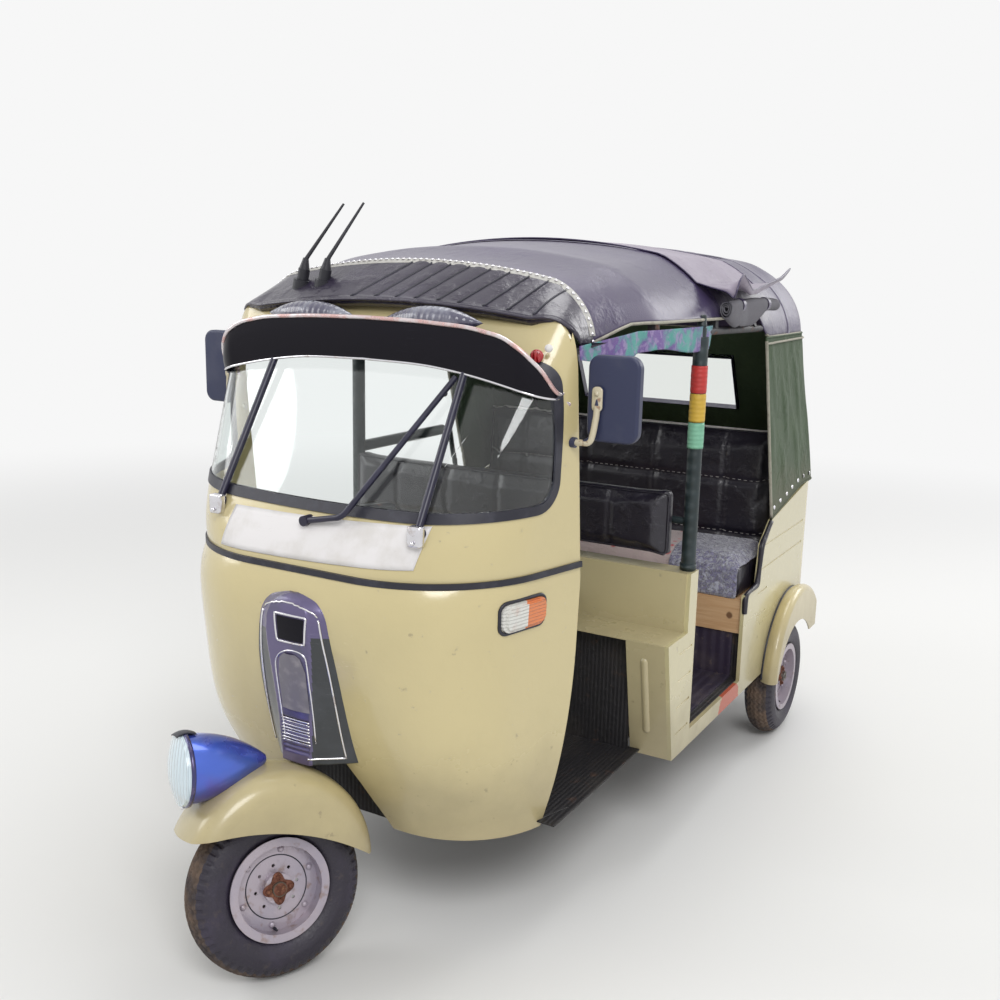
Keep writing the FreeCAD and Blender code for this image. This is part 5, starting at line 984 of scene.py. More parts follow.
# The loose edge is listed as (y, z); from the height liesFrom up the flap lies on the roof.
flap = {"front": 1172, "back": 1640, "clear": 4.0, "wave": 12, "wall": 2.2, "hem": 2.4, "edgeHem": 2.8,
        "liesFrom": 1580, "skew": 16,
        "edge": ((1172, 1556), (1190, 1590), (1215, 1607), (1262, 1583), (1312, 1563), (1370, 1566),
                 (1450, 1580), (1540, 1598), (1600, 1616), (1640, 1624))}


# The flap's half section: it lies on the roof and, past the shoulder, hangs clear out to its loose edge.
def flapHalf(y):
    line, _ = roofHalf(y, 1510)
    line[:, 0] = np.minimum(line[:, 0], roof["hull"])
    high = line[line[:, 1] > flap["liesFrom"]]
    lift = high + unit(high - [0, 1200]) * flap["clear"]
    run = runOf(lift)
    lift = between(np.linspace(0, 1, 46) * run[-1], run, lift)
    x, z = lift[0]
    turn = (y - flap["front"]) / (flap["back"] - flap["front"])
    lean = 0.5 * flap["wave"] * math.sin(2 * math.pi * (1.4 * turn + 0.1))
    edge = readTable(y, flap["edge"])
    drop = smoothPath([(x, z), (x + 0.42 * (616 - x), z + 0.25 * (edge - z) - 3), (600, 0.5 * (z + edge) - 5),
                       (620 + 0.4 * lean, edge - 3), (626 + lean, edge + 9)], 6)[:0:-1]
    return np.vstack([drop, lift])


def makeFlap():
    y = np.linspace(flap["front"], flap["back"], 64)
    half = np.array([flapHalf(place) for place in y])
    left = np.stack([half[..., 0], np.broadcast_to(y[:, None], half.shape[:2]), half[..., 1]], axis=2)
    fading = (np.linspace(1, 0, left.shape[1]) ** 3)[None]
    left[:, :, 1] += flap["skew"] * fading * np.linspace(-1, 1, len(y))[:, None]
    whole = mirrored(left)
    sunk = clothSag(whole[..., 1], np.abs(np.cos(whole[..., 0] / 400)))
    whole[..., 2] -= sunk * (whole[..., 2] > 1590) * 0.8
    piece = makePiece("canopyFlap", [surface(whole)], "flap")
    piece.data.materials.append(paint["vinylUnder"])
    wall(piece, flap["wall"])
    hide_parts("canopy_flap")
    edges = [tube(line, radius, 6) for line, radius in (
        (whole[0, ::2], flap["hem"]), (whole[-1, ::2], flap["hem"]), (whole[:, 0], flap["edgeHem"]),
        (whole[:, -1], flap["edgeHem"]))]
    hem = makePiece("flapHem", edges, "vinyl")


# The curtains' front edge runs from its top y to its foot y; the window is in the rear one.
curtain = {"front": (1577, 1771), "top": 1426, "lowFront": 822.3, "lowBack": 888.3, "fold": 6.0, "wall": 1.6,
           "columns": 110, "rows": 60, "halfWidth": 478, "windowHalf": 310, "window": (1130, 1320),
           "tape": (1.2, 13), "film": 0.8, "hem": 3.2, "welt": 3.6, "frontHem": 5.0,
           "stud": ((0.1, 4.6), (4, 4.2), (6.4, 2.8), (7.2, 0.4), (7.2, -1))}


# Round the corner at height z: along the side, a quarter turn of the corner's radius, then across the back.
def roundCorner(distance, z):
    radius = roof["corner"]
    start = np.interp(z, [curtain["lowFront"], curtain["top"]], curtain["front"][::-1])
    straight = backAt(z) - radius - start
    arc = np.clip((distance - straight) / radius, 0, math.pi / 2)
    beyond = np.clip(distance - straight - radius * math.pi / 2, 0, None)
    x = roof["cornerSide"] + radius * np.cos(arc) - beyond
    y = start + np.minimum(distance, straight) + radius * np.sin(arc)
    return x, y, np.stack([np.cos(arc), np.sin(arc)], -1)


# Upright folds that fade at the edges, and slanting pulls from the front top corner.
def quarterGrid(side):
    u = np.linspace(0, 1, curtain["columns"])[:, None]
    v = np.linspace(0, 1, curtain["rows"])[None]
    low = np.interp(u, [0, 0.55, 1], [curtain["lowFront"], curtain["lowBack"], curtain["lowBack"]])
    z = low + (curtain["top"] - low) * v
    start = np.interp(z, [curtain["lowFront"], curtain["top"]], curtain["front"][::-1])
    length = backAt(z) - roof["corner"] - start + roof["corner"] * math.pi / 2 + 10
    x, y, out = roundCorner(u * length, z)
    fade = np.sin(np.pi * u) ** 0.5 * np.sin(np.pi * (v * 0.98 + 0.01)) ** 0.6
    fold = curtain["fold"] * fade * (0.55 * np.sin(u * 26 + 1.3 * np.sin(v * 5 + side)) +
                                     0.45 * np.sin(u * 47 + 9 * v + side) + 0.3 * np.sin(17 * (u + 0.8 * v)))
    hug = 1.5 + np.abs(fold) * 0.4 + fold * 0.6
    return np.stack([side * (x + out[..., 0] * hug), y + out[..., 1] * hug, z], axis=2)


# The border of a grid as one closed line, every second point.
def borderOf(cloth):
    return np.vstack([cloth[:, 0], cloth[-1, 1:], cloth[-2::-1, -1], cloth[0, -2:0:-1]])[::2]


def makeQuarterCurtain(name, side):
    cloth = quarterGrid(side)
    piece = makePiece("quarterCurtain" + name, [surface(cloth)], "canvas")
    wall(piece, curtain["wall"])
    hem = makePiece("curtainHem" + name, [tube(borderOf(cloth), curtain["hem"], closed=True)], "canvas")
    welt = makePiece("curtainWelt" + name, [tube(cloth[::2, -3] + [side * 2.5, 0, 2], curtain["welt"])],
                     "hem")
    front = makePiece("curtainFrontHem" + name,
                      [tube(cloth[0, 1:-1] + [side * 2.0, -2, 0], curtain["frontHem"])], "hem")
    studs = []
    for foot in cloth[np.linspace(6, 102, 9).astype(int), 3]:
        studs.append(turned(curtain["stud"], foot, (side, 0, 0) if foot[1] < 2080 else (side * 0.6, 0.8, 0),
                            14))
    stud = makePiece("curtainStuds" + name, studs, "chrome")
    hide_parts("quarter_curtains")


# The rear curtain, with a window cut out, a tape round it and a clear film behind.
def makeRearCurtain():
    half, (low, high) = curtain["windowHalf"], curtain["window"]
    side = curtain["halfWidth"]
    xs = np.unique(np.concatenate([np.linspace(-side, side, 97), [-half, half]]))
    zs = np.unique(np.concatenate([np.linspace(889, curtain["top"], 60), curtain["window"]]))
    x, z = np.meshgrid(xs, zs, indexing="ij")
    near = np.maximum(np.abs(x) - half, np.abs(z - (low + high) / 2) - (high - low) / 2)
    fade = np.clip(near / 60, 0, 1) * np.clip((480 - np.abs(x)) / 50, 0, 1)
    fade = fade * np.clip((curtain["top"] - z) / 50, 0, 1)
    ripple = curtain["fold"] * fade * (0.6 * np.sin(x / 31 + 1.7 * np.sin(z / 120)) +
                                       0.4 * np.sin(x / 57 + z / 90))
    cloth = np.stack([x, backAt(z) + 2 + 0.4 * np.abs(ripple) + 0.6 * ripple, z], axis=2)
    verts, faces = surface(cloth)
    middle = verts[np.array(faces)].mean(1)
    cut = (np.abs(middle[:, 0]) < half) & (middle[:, 2] > low) & (middle[:, 2] < high)
    rear = makePiece("rearCurtain", [(verts, [face for face, gone in zip(faces, cut) if not gone])], "canvas")
    wall(rear, curtain["wall"])
    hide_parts("rear_curtain")
    hem = makePiece("rearCurtainHem", [tube(borderOf(cloth), curtain["hem"], closed=True)], "canvas")
    loop = np.array([(-half, low), (half, low), (half, high), (-half, high)], float)
    line = np.concatenate([np.linspace(loop[k], loop[(k + 1) % 4], 24, endpoint=False) for k in range(4)])
    lean = math.radians(roof["lean"])
    thick, wide = curtain["tape"]
    tape = sweep(np.column_stack([line[:, 0], backAt(line[:, 1]) + 3.5, line[:, 1]]),
                 [(-thick, -wide), (-thick, wide), (thick, wide), (thick, -wide)], closed=True,
                 upright=(0, math.cos(lean), math.sin(lean)))
    rim = makePiece("rearWindowTape", [tape], "vinyl", smooth=False)
    x, z = np.meshgrid(np.linspace(-half - 8, half + 8, 60), np.linspace(low - 8, high + 8, 24),
                       indexing="ij")
    film = np.stack([x, backAt(z) + 1.4 * np.sin(x / 47) * np.sin(z / 39) - 0.5, z], axis=2)
    pane = makePiece("rearWindowFilm", [surface(film)], "pane")
    wall(pane, curtain["film"])
    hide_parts("rear_pane")


# Slack is the length of the sheet over the spiral's own, by side: the left roll sags open in a pouch.
rolled = {"path": ((1182, 1524), (1290, 1529), (1400, 1531), (1520, 1529), (1628, 1524)), "side": 594,
          "turns": 3.2, "inner": 4.0, "outer": 19.0, "cloth": 1.6, "pouch": 52, "slack": {1: 1.36, -1: 0.94},
          "pouchAt": (1345, 150), "straps": (1290, 1520), "strapRadius": 19.6, "strapZ": 1528.5,
          "strap": (1.1, 11)}


# The rolled curtain: a spiral band whose radius grows evenly with its angle, carried along the roll's path.
def makeRoll(name, side):
    angle = np.linspace(0, 2 * math.pi * rolled["turns"], 90)
    radius = np.linspace(rolled["inner"], rolled["outer"], 90)
    turn = np.stack([np.cos(angle), np.sin(angle)], axis=1)
    outer = turn * radius[:, None]
    section = np.vstack([outer, (turn * (radius - rolled["cloth"])[:, None])[::-1]])
    path = smoothPath([(side * rolled["side"], y, z) for y, z in rolled["path"]])
    y = path[:, 1]
    tied = sum(0.10 * np.exp(-((y - at) / 14) ** 2) for at in rolled["straps"])
    swell = (1 + 0.05 * np.sin(y / 37) * np.sin(y / 90)) * (1 - tied)
    at, reach = rolled["pouchAt"]
    droop = rolled["pouch"] * np.exp(-((y - at) / reach) ** 4) * (side > 0)
    ring = section[None] * swell[:, None, None]
    low = np.clip(-ring[..., 1:] / rolled["outer"], 0, 1)
    ring = ring - np.concatenate([0 * low, low * droop[:, None, None]], axis=2)
    roll = makePiece("rolledCurtain" + name, [sweep(path, ring, doubled=True)],
                     "vinylUnder" if side > 0 else "canvas")
    hoop = circle(28) * rolled["strapRadius"]
    thick, wide = rolled["strap"]
    x, z = side * rolled["side"] + hoop[:, 0], rolled["strapZ"] + hoop[:, 1]
    flat = [(-thick, -wide), (thick, -wide), (thick, wide), (-thick, wide)]
    straps = [sweep(np.column_stack([x, np.full(28, at), z]), flat, closed=True, upright=(0, 1, 0))
              for at in rolled["straps"]]
    strap = makePiece("curtainStraps" + name, straps, "vinyl", smooth=False)
    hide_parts("rolled_curtains")


banner = {"path": ((508, 470), (540, 640), (562, 800), (574, 980), (578, 1135)), "low": 1421, "wave": 5.0,
          "wall": 0.9, "top": ((470, 1452), (700, 1478), (1135, 1478))}


# The dyed strip under the canopy's edge: a hung band whose foot waves in and out.
def makeStrip():
    path = smoothPath(banner["path"], 24)
    v = np.linspace(0, 1, 14)[None]
    run = runOf(path)[:, None]
    wave = banner["wave"] * v * (np.sin(run / 23) + 0.6 * np.sin(run / 11 + 1))
    top = readTable(path[:, 1:], banner["top"])
    z = top - (top - banner["low"] + 9 * np.sin(run / 70)) * v
    cloth = np.stack([path[:, :1] + wave, path[:, 1:] + 0 * wave, z], axis=2)
    piece = makePiece("dyedStrip", [surface(cloth)], "tie")
    wall(piece, banner["wall"])


makeCanopy()
makePeak()
makeFlap()
for name, side in (("Left", 1), ("Right", -1)):
    makeQuarterCurtain(name, side)
makeRearCurtain()
for name, side in (("Left", 1), ("Right", -1)):
    makeRoll(name, side)
makeStrip()
print("canopy, flap and curtains made")

# In metres: the CAD pad is drawn in by shrink before air blows it up, and it may swell sideways by a little.
# A pad is (CAD node, voxel size, greatest swell, the side that rests).
stuffing = {"shrink": 0.006, "pressure": 4.0, "frames": 20, "mass": 0.3, "stretch": 12, "shear": 6,
            "bend": 0.8, "fill": 0.8, "sideways": 0.001,
            "pads": {"driverSeat": ("driver_seat", 0.006, 0.016, "low"),
                     "driverBackrest": ("driver_backrest", 0.008, 0.012, "back"),
                     "benchSeat": ("bench_cushion", 0.01, 0.018, "low"),
                     "benchBack": ("bench_backrest", 0.0095, 0.02, "back")}}


# The CAD pad's own shape as an even mesh.
def evenMesh(name, node, voxel):
    source = bpy.data.meshes.new(name + "Source")
    work = bmesh.new()
    work.from_mesh(nodes[node].data)
    bmesh.ops.remove_doubles(work, verts=work.verts, dist=merge["distance"])
    work.to_mesh(source)
    work.free()
    body = addObject(name + "Source", source)
    again = body.modifiers.new("again", "REMESH")
    again.mode, again.voxel_size = "VOXEL", voxel
    mesh = bpy.data.meshes.new_from_object(body.evaluated_get(bpy.context.evaluated_depsgraph_get()))
    bpy.data.objects.remove(body)
    mesh.name = name
    return mesh


def blowUp(pad):
    cloth = pad.modifiers.new("cloth", "CLOTH")
    cloth.settings.quality = 4
    cloth.settings.mass = stuffing["mass"]
    cloth.settings.tension_stiffness = cloth.settings.compression_stiffness = stuffing["stretch"]
    cloth.settings.shear_stiffness = stuffing["shear"]
    cloth.settings.bending_stiffness = stuffing["bend"]
    cloth.settings.use_pressure = True
    cloth.settings.uniform_pressure_force = stuffing["pressure"]
    cloth.settings.effector_weights.gravity = 0
    cloth.point_cache.frame_start, cloth.point_cache.frame_end = 1, stuffing["frames"]
    for step in range(1, stuffing["frames"] + 1):
        bpy.context.scene.frame_set(step)
    blown = coords(pad.evaluated_get(bpy.context.evaluated_depsgraph_get()).to_mesh().vertices)
    pad.modifiers.clear()
    bpy.context.scene.frame_set(1)
    return blown


# A stuffed pad: the CAD pad remeshed, drawn in a little, blown up as cloth, then held within its cap and box:
# flat where it rests, below or behind, and no wider than its room.
def makePad(name):
    node, voxel, cap, rest = stuffing["pads"][name]
    mesh = evenMesh(name, node, voxel)
    start, normal = coords(mesh.vertices), coords(mesh.vertex_normals, "vector")
    mesh.vertices.foreach_set("co", (start - normal * stuffing["shrink"]).ravel())
    pad = addObject(name, mesh)
    low, high = (np.array(corner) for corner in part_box(node))
    blown = blowUp(pad)
    move = blown - start
    length = np.linalg.norm(move, axis=1, keepdims=True)
    blown = start + move * np.minimum(1, cap / np.maximum(length, 1e-9))
    if rest == "low":
        blown[:, 2] = np.maximum(blown[:, 2], low[2])
    else:
        blown[:, 1] = np.minimum(blown[:, 1], high[1])
    blown[:, 0] = np.clip(blown[:, 0], low[0] - stuffing["sideways"], high[0] + stuffing["sideways"])
    mesh.vertices.foreach_set("co", blown.ravel())
    mesh.update()
    mesh.materials.clear()
    mesh.materials.append(paint["leather"])
    mesh.shade_smooth()
    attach(pad, "cab")
    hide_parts(node)
    return pad


# Presses sewn lines into the pad: at each one the surface sinks by depth times a bell curve of its distance.
def sewLines(pad, axis, places, depth, width, facing):
    mesh = pad.data
    co, normal = coords(mesh.vertices), coords(mesh.vertex_normals, "vector")
    facingIt = np.clip((normal @ np.array(facing) - 0.5) * 4, 0, 1)
    for place in places:
        away = (co[:, axis] - place) / width
        co -= np.array(facing) * (depth * np.exp(-away ** 2) * facingIt)[:, None]
    mesh.vertices.foreach_set("co", co.ravel())
    mesh.update()


def divide(pad):
    sub = pad.modifiers.new("divide", "SUBSURF")
    sub.levels = sub.render_levels = 1


# A path laid on a pad: each point goes to the nearest place on its surface, lifted a little.
def laidOn(pad, path, lift):
    tree = meshTree(pad.data)
    found = [tree.find_nearest(Vector(point)) for point in toFrame(path)]
    return np.array([toDrawing(hit) + np.array(normal) * lift for hit, normal, _, _ in found])


# The outline of a box with rounded corners, counterclockwise from the high x end.
def roundedOutline(low, high, radius, count=8):
    (x0, z0), (x1, z1) = low, high
    turn = np.linspace(0, math.pi / 2, count)
    spots = [(x1 - radius, z1 - radius), (x0 + radius, z1 - radius), (x0 + radius, z0 + radius),
             (x1 - radius, z0 + radius)]
    return np.vstack([np.stack([x + radius * np.cos(turn + k * math.pi / 2),
                                z + radius * np.sin(turn + k * math.pi / 2)], axis=1)
                      for k, (x, z) in enumerate(spots)])


# The same with its straight stretches cut into steps of about 18 mm.
def steppedOutline(low, high, radius):
    loop = roundedOutline(low, high, radius, 14)
    parts = []
    for a, b in zip(loop, np.roll(loop, -1, 0)):
        count = max(1, int(np.linalg.norm(b - a) / 18))
        parts.append(a + (b - a) * np.linspace(0, 1, count, endpoint=False)[:, None])
    return np.vstack(parts)


# Sewn lines are in metres: x for the upright ones and z for the level ones. Loops are in millimetres.
seat = {"cushionLines": (-0.115, 0.0, 0.115), "backLines": (-0.36, -0.18, 0.0, 0.18, 0.36), "seam": 0.006,
        "seamWidth": 0.007, "benchLines": (-0.39, -0.13, 0.13, 0.39), "benchLevels": (0.735, 0.92),
        "piping": 3.2, "cushionLoop": ((-229, 851), (229, 1028), 24),
        "cushionPiping": ((722, 1.2), (652, 1.0)), "backLoop": ((-538, 854), (538, 1038), 22),
        "backFace": 1003, "benchLoop": ((-581, 640), (581, 1108), 28), "benchFace": 1884, "benchPiping": 3.4,
        "welt": 3.0, "weltFrom": 1090, "stitch": 0.9, "stitchFace": 1880, "stitchHalf": 560, "stitchRise": 13}


def makeSeats():
    ahead = (0, -1, 0)
    cushion = makePad("driverSeat")
    sewLines(cushion, 0, seat["cushionLines"], seat["seam"], seat["seamWidth"], (0, 0, 1))
    divide(cushion)
    loop = steppedOutline(*seat["cushionLoop"])
    makePiece("driverSeatPiping", [tube(laidOn(cushion, np.insert(loop, 2, z, axis=1), lift), seat["piping"],
                                        closed=True) for z, lift in seat["cushionPiping"]], "leather")
    back = makePad("driverBackrest")
    sewLines(back, 0, seat["backLines"], seat["seam"], seat["seamWidth"], ahead)
    divide(back)
    loop = laidOn(back, np.insert(steppedOutline(*seat["backLoop"]), 1, seat["backFace"], axis=1), 1.2)
    makePiece("driverBackPiping", [tube(loop, seat["piping"], closed=True, upright=(0, 1, 0))], "leather")
    bench = makePad("benchSeat")
    divide(bench)
    benchBack = makePad("benchBack")
    sewLines(benchBack, 0, seat["benchLines"], 0.008, 0.010, ahead)
    sewLines(benchBack, 2, seat["benchLevels"], 0.010, 0.011, ahead)
    divide(benchBack)
    loop = laidOn(benchBack, np.insert(steppedOutline(*seat["benchLoop"]), 1, seat["benchFace"], axis=1), 1.4)
    makePiece("benchBackPiping", [tube(loop, seat["benchPiping"], closed=True, upright=(0, 1, 0))], "leather")
    top = loop[loop[:, 2] > seat["weltFrom"]]
    top = top[np.argsort(top[:, 0])]
    makePiece("benchBackWelt", [tube(top[::2] + [0, -3, 5], seat["welt"])], "thread")
    stitches = []
    half, face = seat["stitchHalf"], seat["stitchFace"]
    for level in seat["benchLevels"]:
        height = level * 1000 + seat["stitchRise"]
        laid = laidOn(benchBack, np.linspace((-half, face, height), (half, face, height), 113), 0.6)
        stitches += [tube(laid[k:k + 2], seat["stitch"], 5) for k in range(0, 112, 2)]
    makePiece("benchBackStitches", stitches, "thread")
    return bench


cover = {"dotted": (-560, 342), "plush": (330, 581), "front": 1527, "low": 562, "back": 1868, "top": 712,
         "bend": ((1562, 712), (1538, 702), (1527, 676)), "step": 7, "wave": 6.0, "lumps": 2.25,
         "dottedWall": 1.6, "plushWall": 5.0, "clear": 0.004}


# A cover on the bench: its profile runs from the backrest forward, over the front edge and down, and the part
# that hangs waves in and out more the lower it is.
def coverGrid(x0, x1, lowEdge, lumpy, phase):
    x = np.linspace(x0, x1, max(40, int((x1 - x0) / cover["step"])))[:, None]
    profile = np.vstack([np.column_stack([np.linspace(cover["back"], 1566, 44), np.full(44, cover["top"])]),
                         arcThrough(*cover["bend"], 12),
                         np.column_stack([np.full(22, cover["front"]), np.linspace(670, lowEdge, 22)])])
    y, z = profile[None, :, 0], profile[None, :, 1]
    hang = np.clip((690 - z) / 120, 0, 1)
    wave = cover["wave"] * hang * (np.sin(x / 37 + phase) + 0.5 * np.sin(x / 17 + 2 * phase))
    rough = lumpy * (np.sin(x / 7.1 + y / 9) * np.sin(y / 6.3 + z / 7) +
                     0.6 * np.sin(x / 4.1) * np.sin((y + z) / 5))
    wrinkle = 2.4 * np.sin(x / 60 + y / 31 + phase) * np.sin(y / 47 + x / 200) * (1 - hang)
    trim = (7 * np.sin(x / 53 + phase) + 4 * np.sin(x / 19)) * np.clip((650 - z) / 80, 0, 1)
    return np.stack([x + 0 * y, y - wave - rough * hang - 1.5 * hang,
                     z + (wrinkle + rough) * (1 - hang) + trim], axis=2)


def makeCover(name, grid, look, thick, bench, *rests):
    piece = makePiece(name, [surface(grid)], look)
    onto = piece.modifiers.new("onto", "SHRINKWRAP")
    onto.target, onto.offset = bench, cover["clear"]
    onto.wrap_method, onto.wrap_mode = "NEAREST_SURFACEPOINT", "OUTSIDE_SURFACE"
    settled = bpy.data.meshes.new_from_object(piece.evaluated_get(bpy.context.evaluated_depsgraph_get()))
    piece.modifiers.clear()
    piece.data = settled
    wall(piece, thick, inward=False)


def makeCovers(bench):
    dotted = coverGrid(*cover["dotted"], cover["low"] + 26, 0.0, 0.4)
    makeCover("benchCover", dotted, "dotted", cover["dottedWall"], bench, "benchSeat")
    plush = coverGrid(*cover["plush"], cover["low"], cover["lumps"], 1.7)
    # over the dotted cover's edge
    plush[..., 2] += 5 * (plush[..., 2] > 690)
    plush[..., 1] -= 6 * (plush[..., 2] < 690)
    makeCover("plushCover", plush, "plush", cover["plushWall"], bench, "benchSeat", "benchCover")


makeCovers(makeSeats())
print("seats and covers made")

# A wheel is (place, axis outwards, body, CAD tyre). The tyre's section is a circle: middle is how far its
# centre is from the axle, and round its radius. Grooves and rings are by distance from the tread's middle,
# measured over the section.
wheel = {"places": {"rearLeft": ((575, 2000, 208), (1, 0, 0), "rear_left_wheel", "rear_left_tyre"),
                    "rearRight": ((-575, 2000, 208), (-1, 0, 0), "rear_right_wheel", "rear_right_tyre"),
                    "front": ((0, 0, 204.5), (0.866025, -0.453154, 0.211309), "front_wheel", "front_tyre")},
         "middle": 155, "round": 51.5, "bead": 105, "periods": 54, "around": 540, "across": 60, "groove": 5.0,
         "grooves": (-25, -8.5, 8.5, 25), "zigzag": 4.2, "grooveWidth": 3.4, "notch": 3.6,
         "rings": (72, 84, 112), "ring": 1.3, "arc": 53, "treadFrom": 0.192}


# Places on a wheel: out along its axle, then at a radius round it; the arrays may have one value per place.
def onWheel(place, axis, out, radius, angle):
    side, third = squareTo(np.asarray(axis, float))
    out, radius, angle = (np.asarray(value, float)[..., None] for value in (out, radius, angle))
    hub = np.asarray(place, float) + out * np.array(axis)
    return hub + radius * (np.cos(angle) * side + np.sin(angle) * third)


# A tyre: a circle of the section's radius carried round the wheel. Zigzag grooves and shoulder notches sink
# into the tread, and rings stand on the side walls.
def tyreShape(place, axis):
    theta = np.linspace(0, 2 * np.pi, wheel["around"], endpoint=False)[:, None]
    phi = np.linspace(-2.85, 2.85, wheel["across"])[None]
    arc = wheel["arc"] * phi
    turn = theta * wheel["periods"] / (2 * np.pi)
    zig = 4 * np.abs(turn % 1 - 0.5) - 1
    depth = 0 * arc * theta
    for middle in wheel["grooves"]:
        away = np.abs(arc - middle - wheel["zigzag"] * zig)
        depth = np.maximum(depth, wheel["groove"] * np.clip((wheel["grooveWidth"] - away) / 1.4, 0, 1))
    notch = (np.abs(arc) > 36) & (np.abs(arc) < 56) & ((turn + 0.25) % 1 < 0.4)
    depth = np.maximum(depth, notch * wheel["notch"])
    rings = sum(wheel["ring"] * np.exp(-((np.abs(arc) - at) / 1.6) ** 2) for at in wheel["rings"])
    bulge = wheel["round"] - depth + rings
    radius = np.maximum(wheel["middle"] + bulge * np.cos(phi), wheel["bead"])
    points = onWheel(place, axis, bulge * np.sin(phi), radius, theta)
    return surface(points, wrapRows=True, wrapColumns=True)


# Profiles are (radius, distance out); the hub plate's lobes are a cosine round it.
rimTrim = {"bolts": 6, "boltRadius": 86, "boltOut": 13.5,
           "bolt": ((0.1, -2), (7.5, -2), (7.5, 3.5), (6, 6.5), (3, 8), (0.1, 8.4)), "groove": 73,
           "grooveOut": 14.8, "grooveLine": 1.8, "lobes": 4, "plate": 31, "plateSwing": 7, "plateOut": 28,
           "plateThick": 5, "cap": ((0.1, 30), (17, 30), (17, 38), (14, 42), (7, 43), (0.1, 43)),
           "nutRadius": 27, "nut": ((0.1, 0), (5.5, 0), (5.5, 5), (4.2, 6.5), (0.1, 6.8)),
           "valve": (10, 93, 1.4), "stem": ((0.1, 0), (4, 0), (3.6, 18), (2.6, 19), (2.6, 27), (0.1, 27.5))}


def plateShape(place, axis):
    out, thick, sides = rimTrim["plateOut"], rimTrim["plateThick"], 64
    angle = np.linspace(0, 2 * math.pi, sides, endpoint=False)
    radius = rimTrim["plate"] + rimTrim["plateSwing"] * np.cos(rimTrim["lobes"] * angle)
    rings = [(0.02, 0), (0.97, 0), (1.0, 0.3), (1.0, 0.7), (0.95, 1), (0.02, 1)]
    points = np.array([onWheel(place, axis, np.full(sides, out + thick * h), radius * f, angle)
                       for f, h in rings])
    verts, faces = surface(points, wrapColumns=True)
    return verts, faces + [tuple(range(sides - 1, -1, -1)), tuple(range(5 * sides, 6 * sides))]


def makeWheel(name, place, axis, body, node):
    tyre = makePiece(name + "Tyre", [tyreShape(place, axis)], "tyre", body)

    def tread(middles):
        offset = middles - toFrame(place)
        return np.linalg.norm(offset - (offset @ unit(np.array(axis)))[:, None] * axis,
                              axis=1) > wheel["treadFrom"]

    paintFaces(tyre, "tread", tread)
    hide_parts(node)
    angle = np.linspace(0, 2 * np.pi, 72, endpoint=False)
    hoop = onWheel(place, axis, rimTrim["grooveOut"], rimTrim["groove"], angle)
    makePiece(name + "RimGroove", [tube(hoop, rimTrim["grooveLine"], closed=True, upright=axis)], "rubber",
              body)
    bolts = onWheel(place, axis, rimTrim["boltOut"], rimTrim["boltRadius"],
                    np.arange(rimTrim["bolts"]) * 2 * math.pi / rimTrim["bolts"] + 0.3)
    makePiece(name + "RimBolts", [turned(rimTrim["bolt"], spot, axis, 16) for spot in bolts], "rim",
              body)
    nuts = onWheel(place, axis, rimTrim["plateOut"] + 4, rimTrim["nutRadius"], np.arange(4) * math.pi / 2)
    hub = [plateShape(place, axis), turned(rimTrim["cap"], place, axis, 24)]
    makePiece(name + "HubPlate", hub + [turned(rimTrim["nut"], spot, axis, 6) for spot in nuts], "rusty",
              body)
    stem = onWheel(place, axis, *rimTrim["valve"])
    makePiece(name + "Valve", [turned(rimTrim["stem"], stem, axis, 12)], "rubber", body)


for name, values in wheel["places"].items():
    makeWheel(name, *values)
print("wheels made")

# Rays that find the front start ahead of the vehicle, at this y, and go rearward.
rayStart, rearward = -300, (0, 1, 0)


# A line laid on the front by rays through its (x, z) places.
def laidOnFront(tree, places, lift, start=rayStart):
    found = [meet(tree, (x, start, z), rearward, lift) for x, z in places]
    return np.array([point for point in found if point is not None])


# The cover's rows are (z, face y, half the face's width, half the whole width).
grille = {"rows": ((478, 84, 40, 124), (540, 82, 44, 123), (593, 80, 47, 122), (650, 76, 52, 120),
                   (699, 71, 56, 117), (745, 66, 60, 112), (782, 62, 62, 106), (815, 60, 61, 100),
                   (847, 61, 56, 91), (868, 66, 45, 76), (881, 74, 30, 56), (889, 84, 12, 26)), "high": 150,
          "wide": 93, "slots": (503, 590), "slotStep": 11.5, "slotDepth": 4.5, "slotMiddle": 4,
          "slotHalf": 38, "crown": 2.0, "wall": 3.0, "hollow": 0.62, "blend": 0.62, "flankTop": 800,
          "noseX": (0, 130, 14), "noseZ": (470, 895, 18)}


# The nose's y behind the cover, as a table over x and z; where a ray finds no nose the row above carries on.
def noseTable(xs, zs):
    shell = treeOf("nose_shell")
    found = [[meet(shell, (x, rayStart, z), rearward) for x in xs] for z in zs]
    table = np.array([[np.nan if point is None else point[1] for point in row] for row in found])
    for k in range(len(zs) - 2, -1, -1):
        table[k] = np.where(np.isnan(table[k]) | (table[k] > table[k + 1] + 40), table[k + 1] + 2, table[k])
    return table


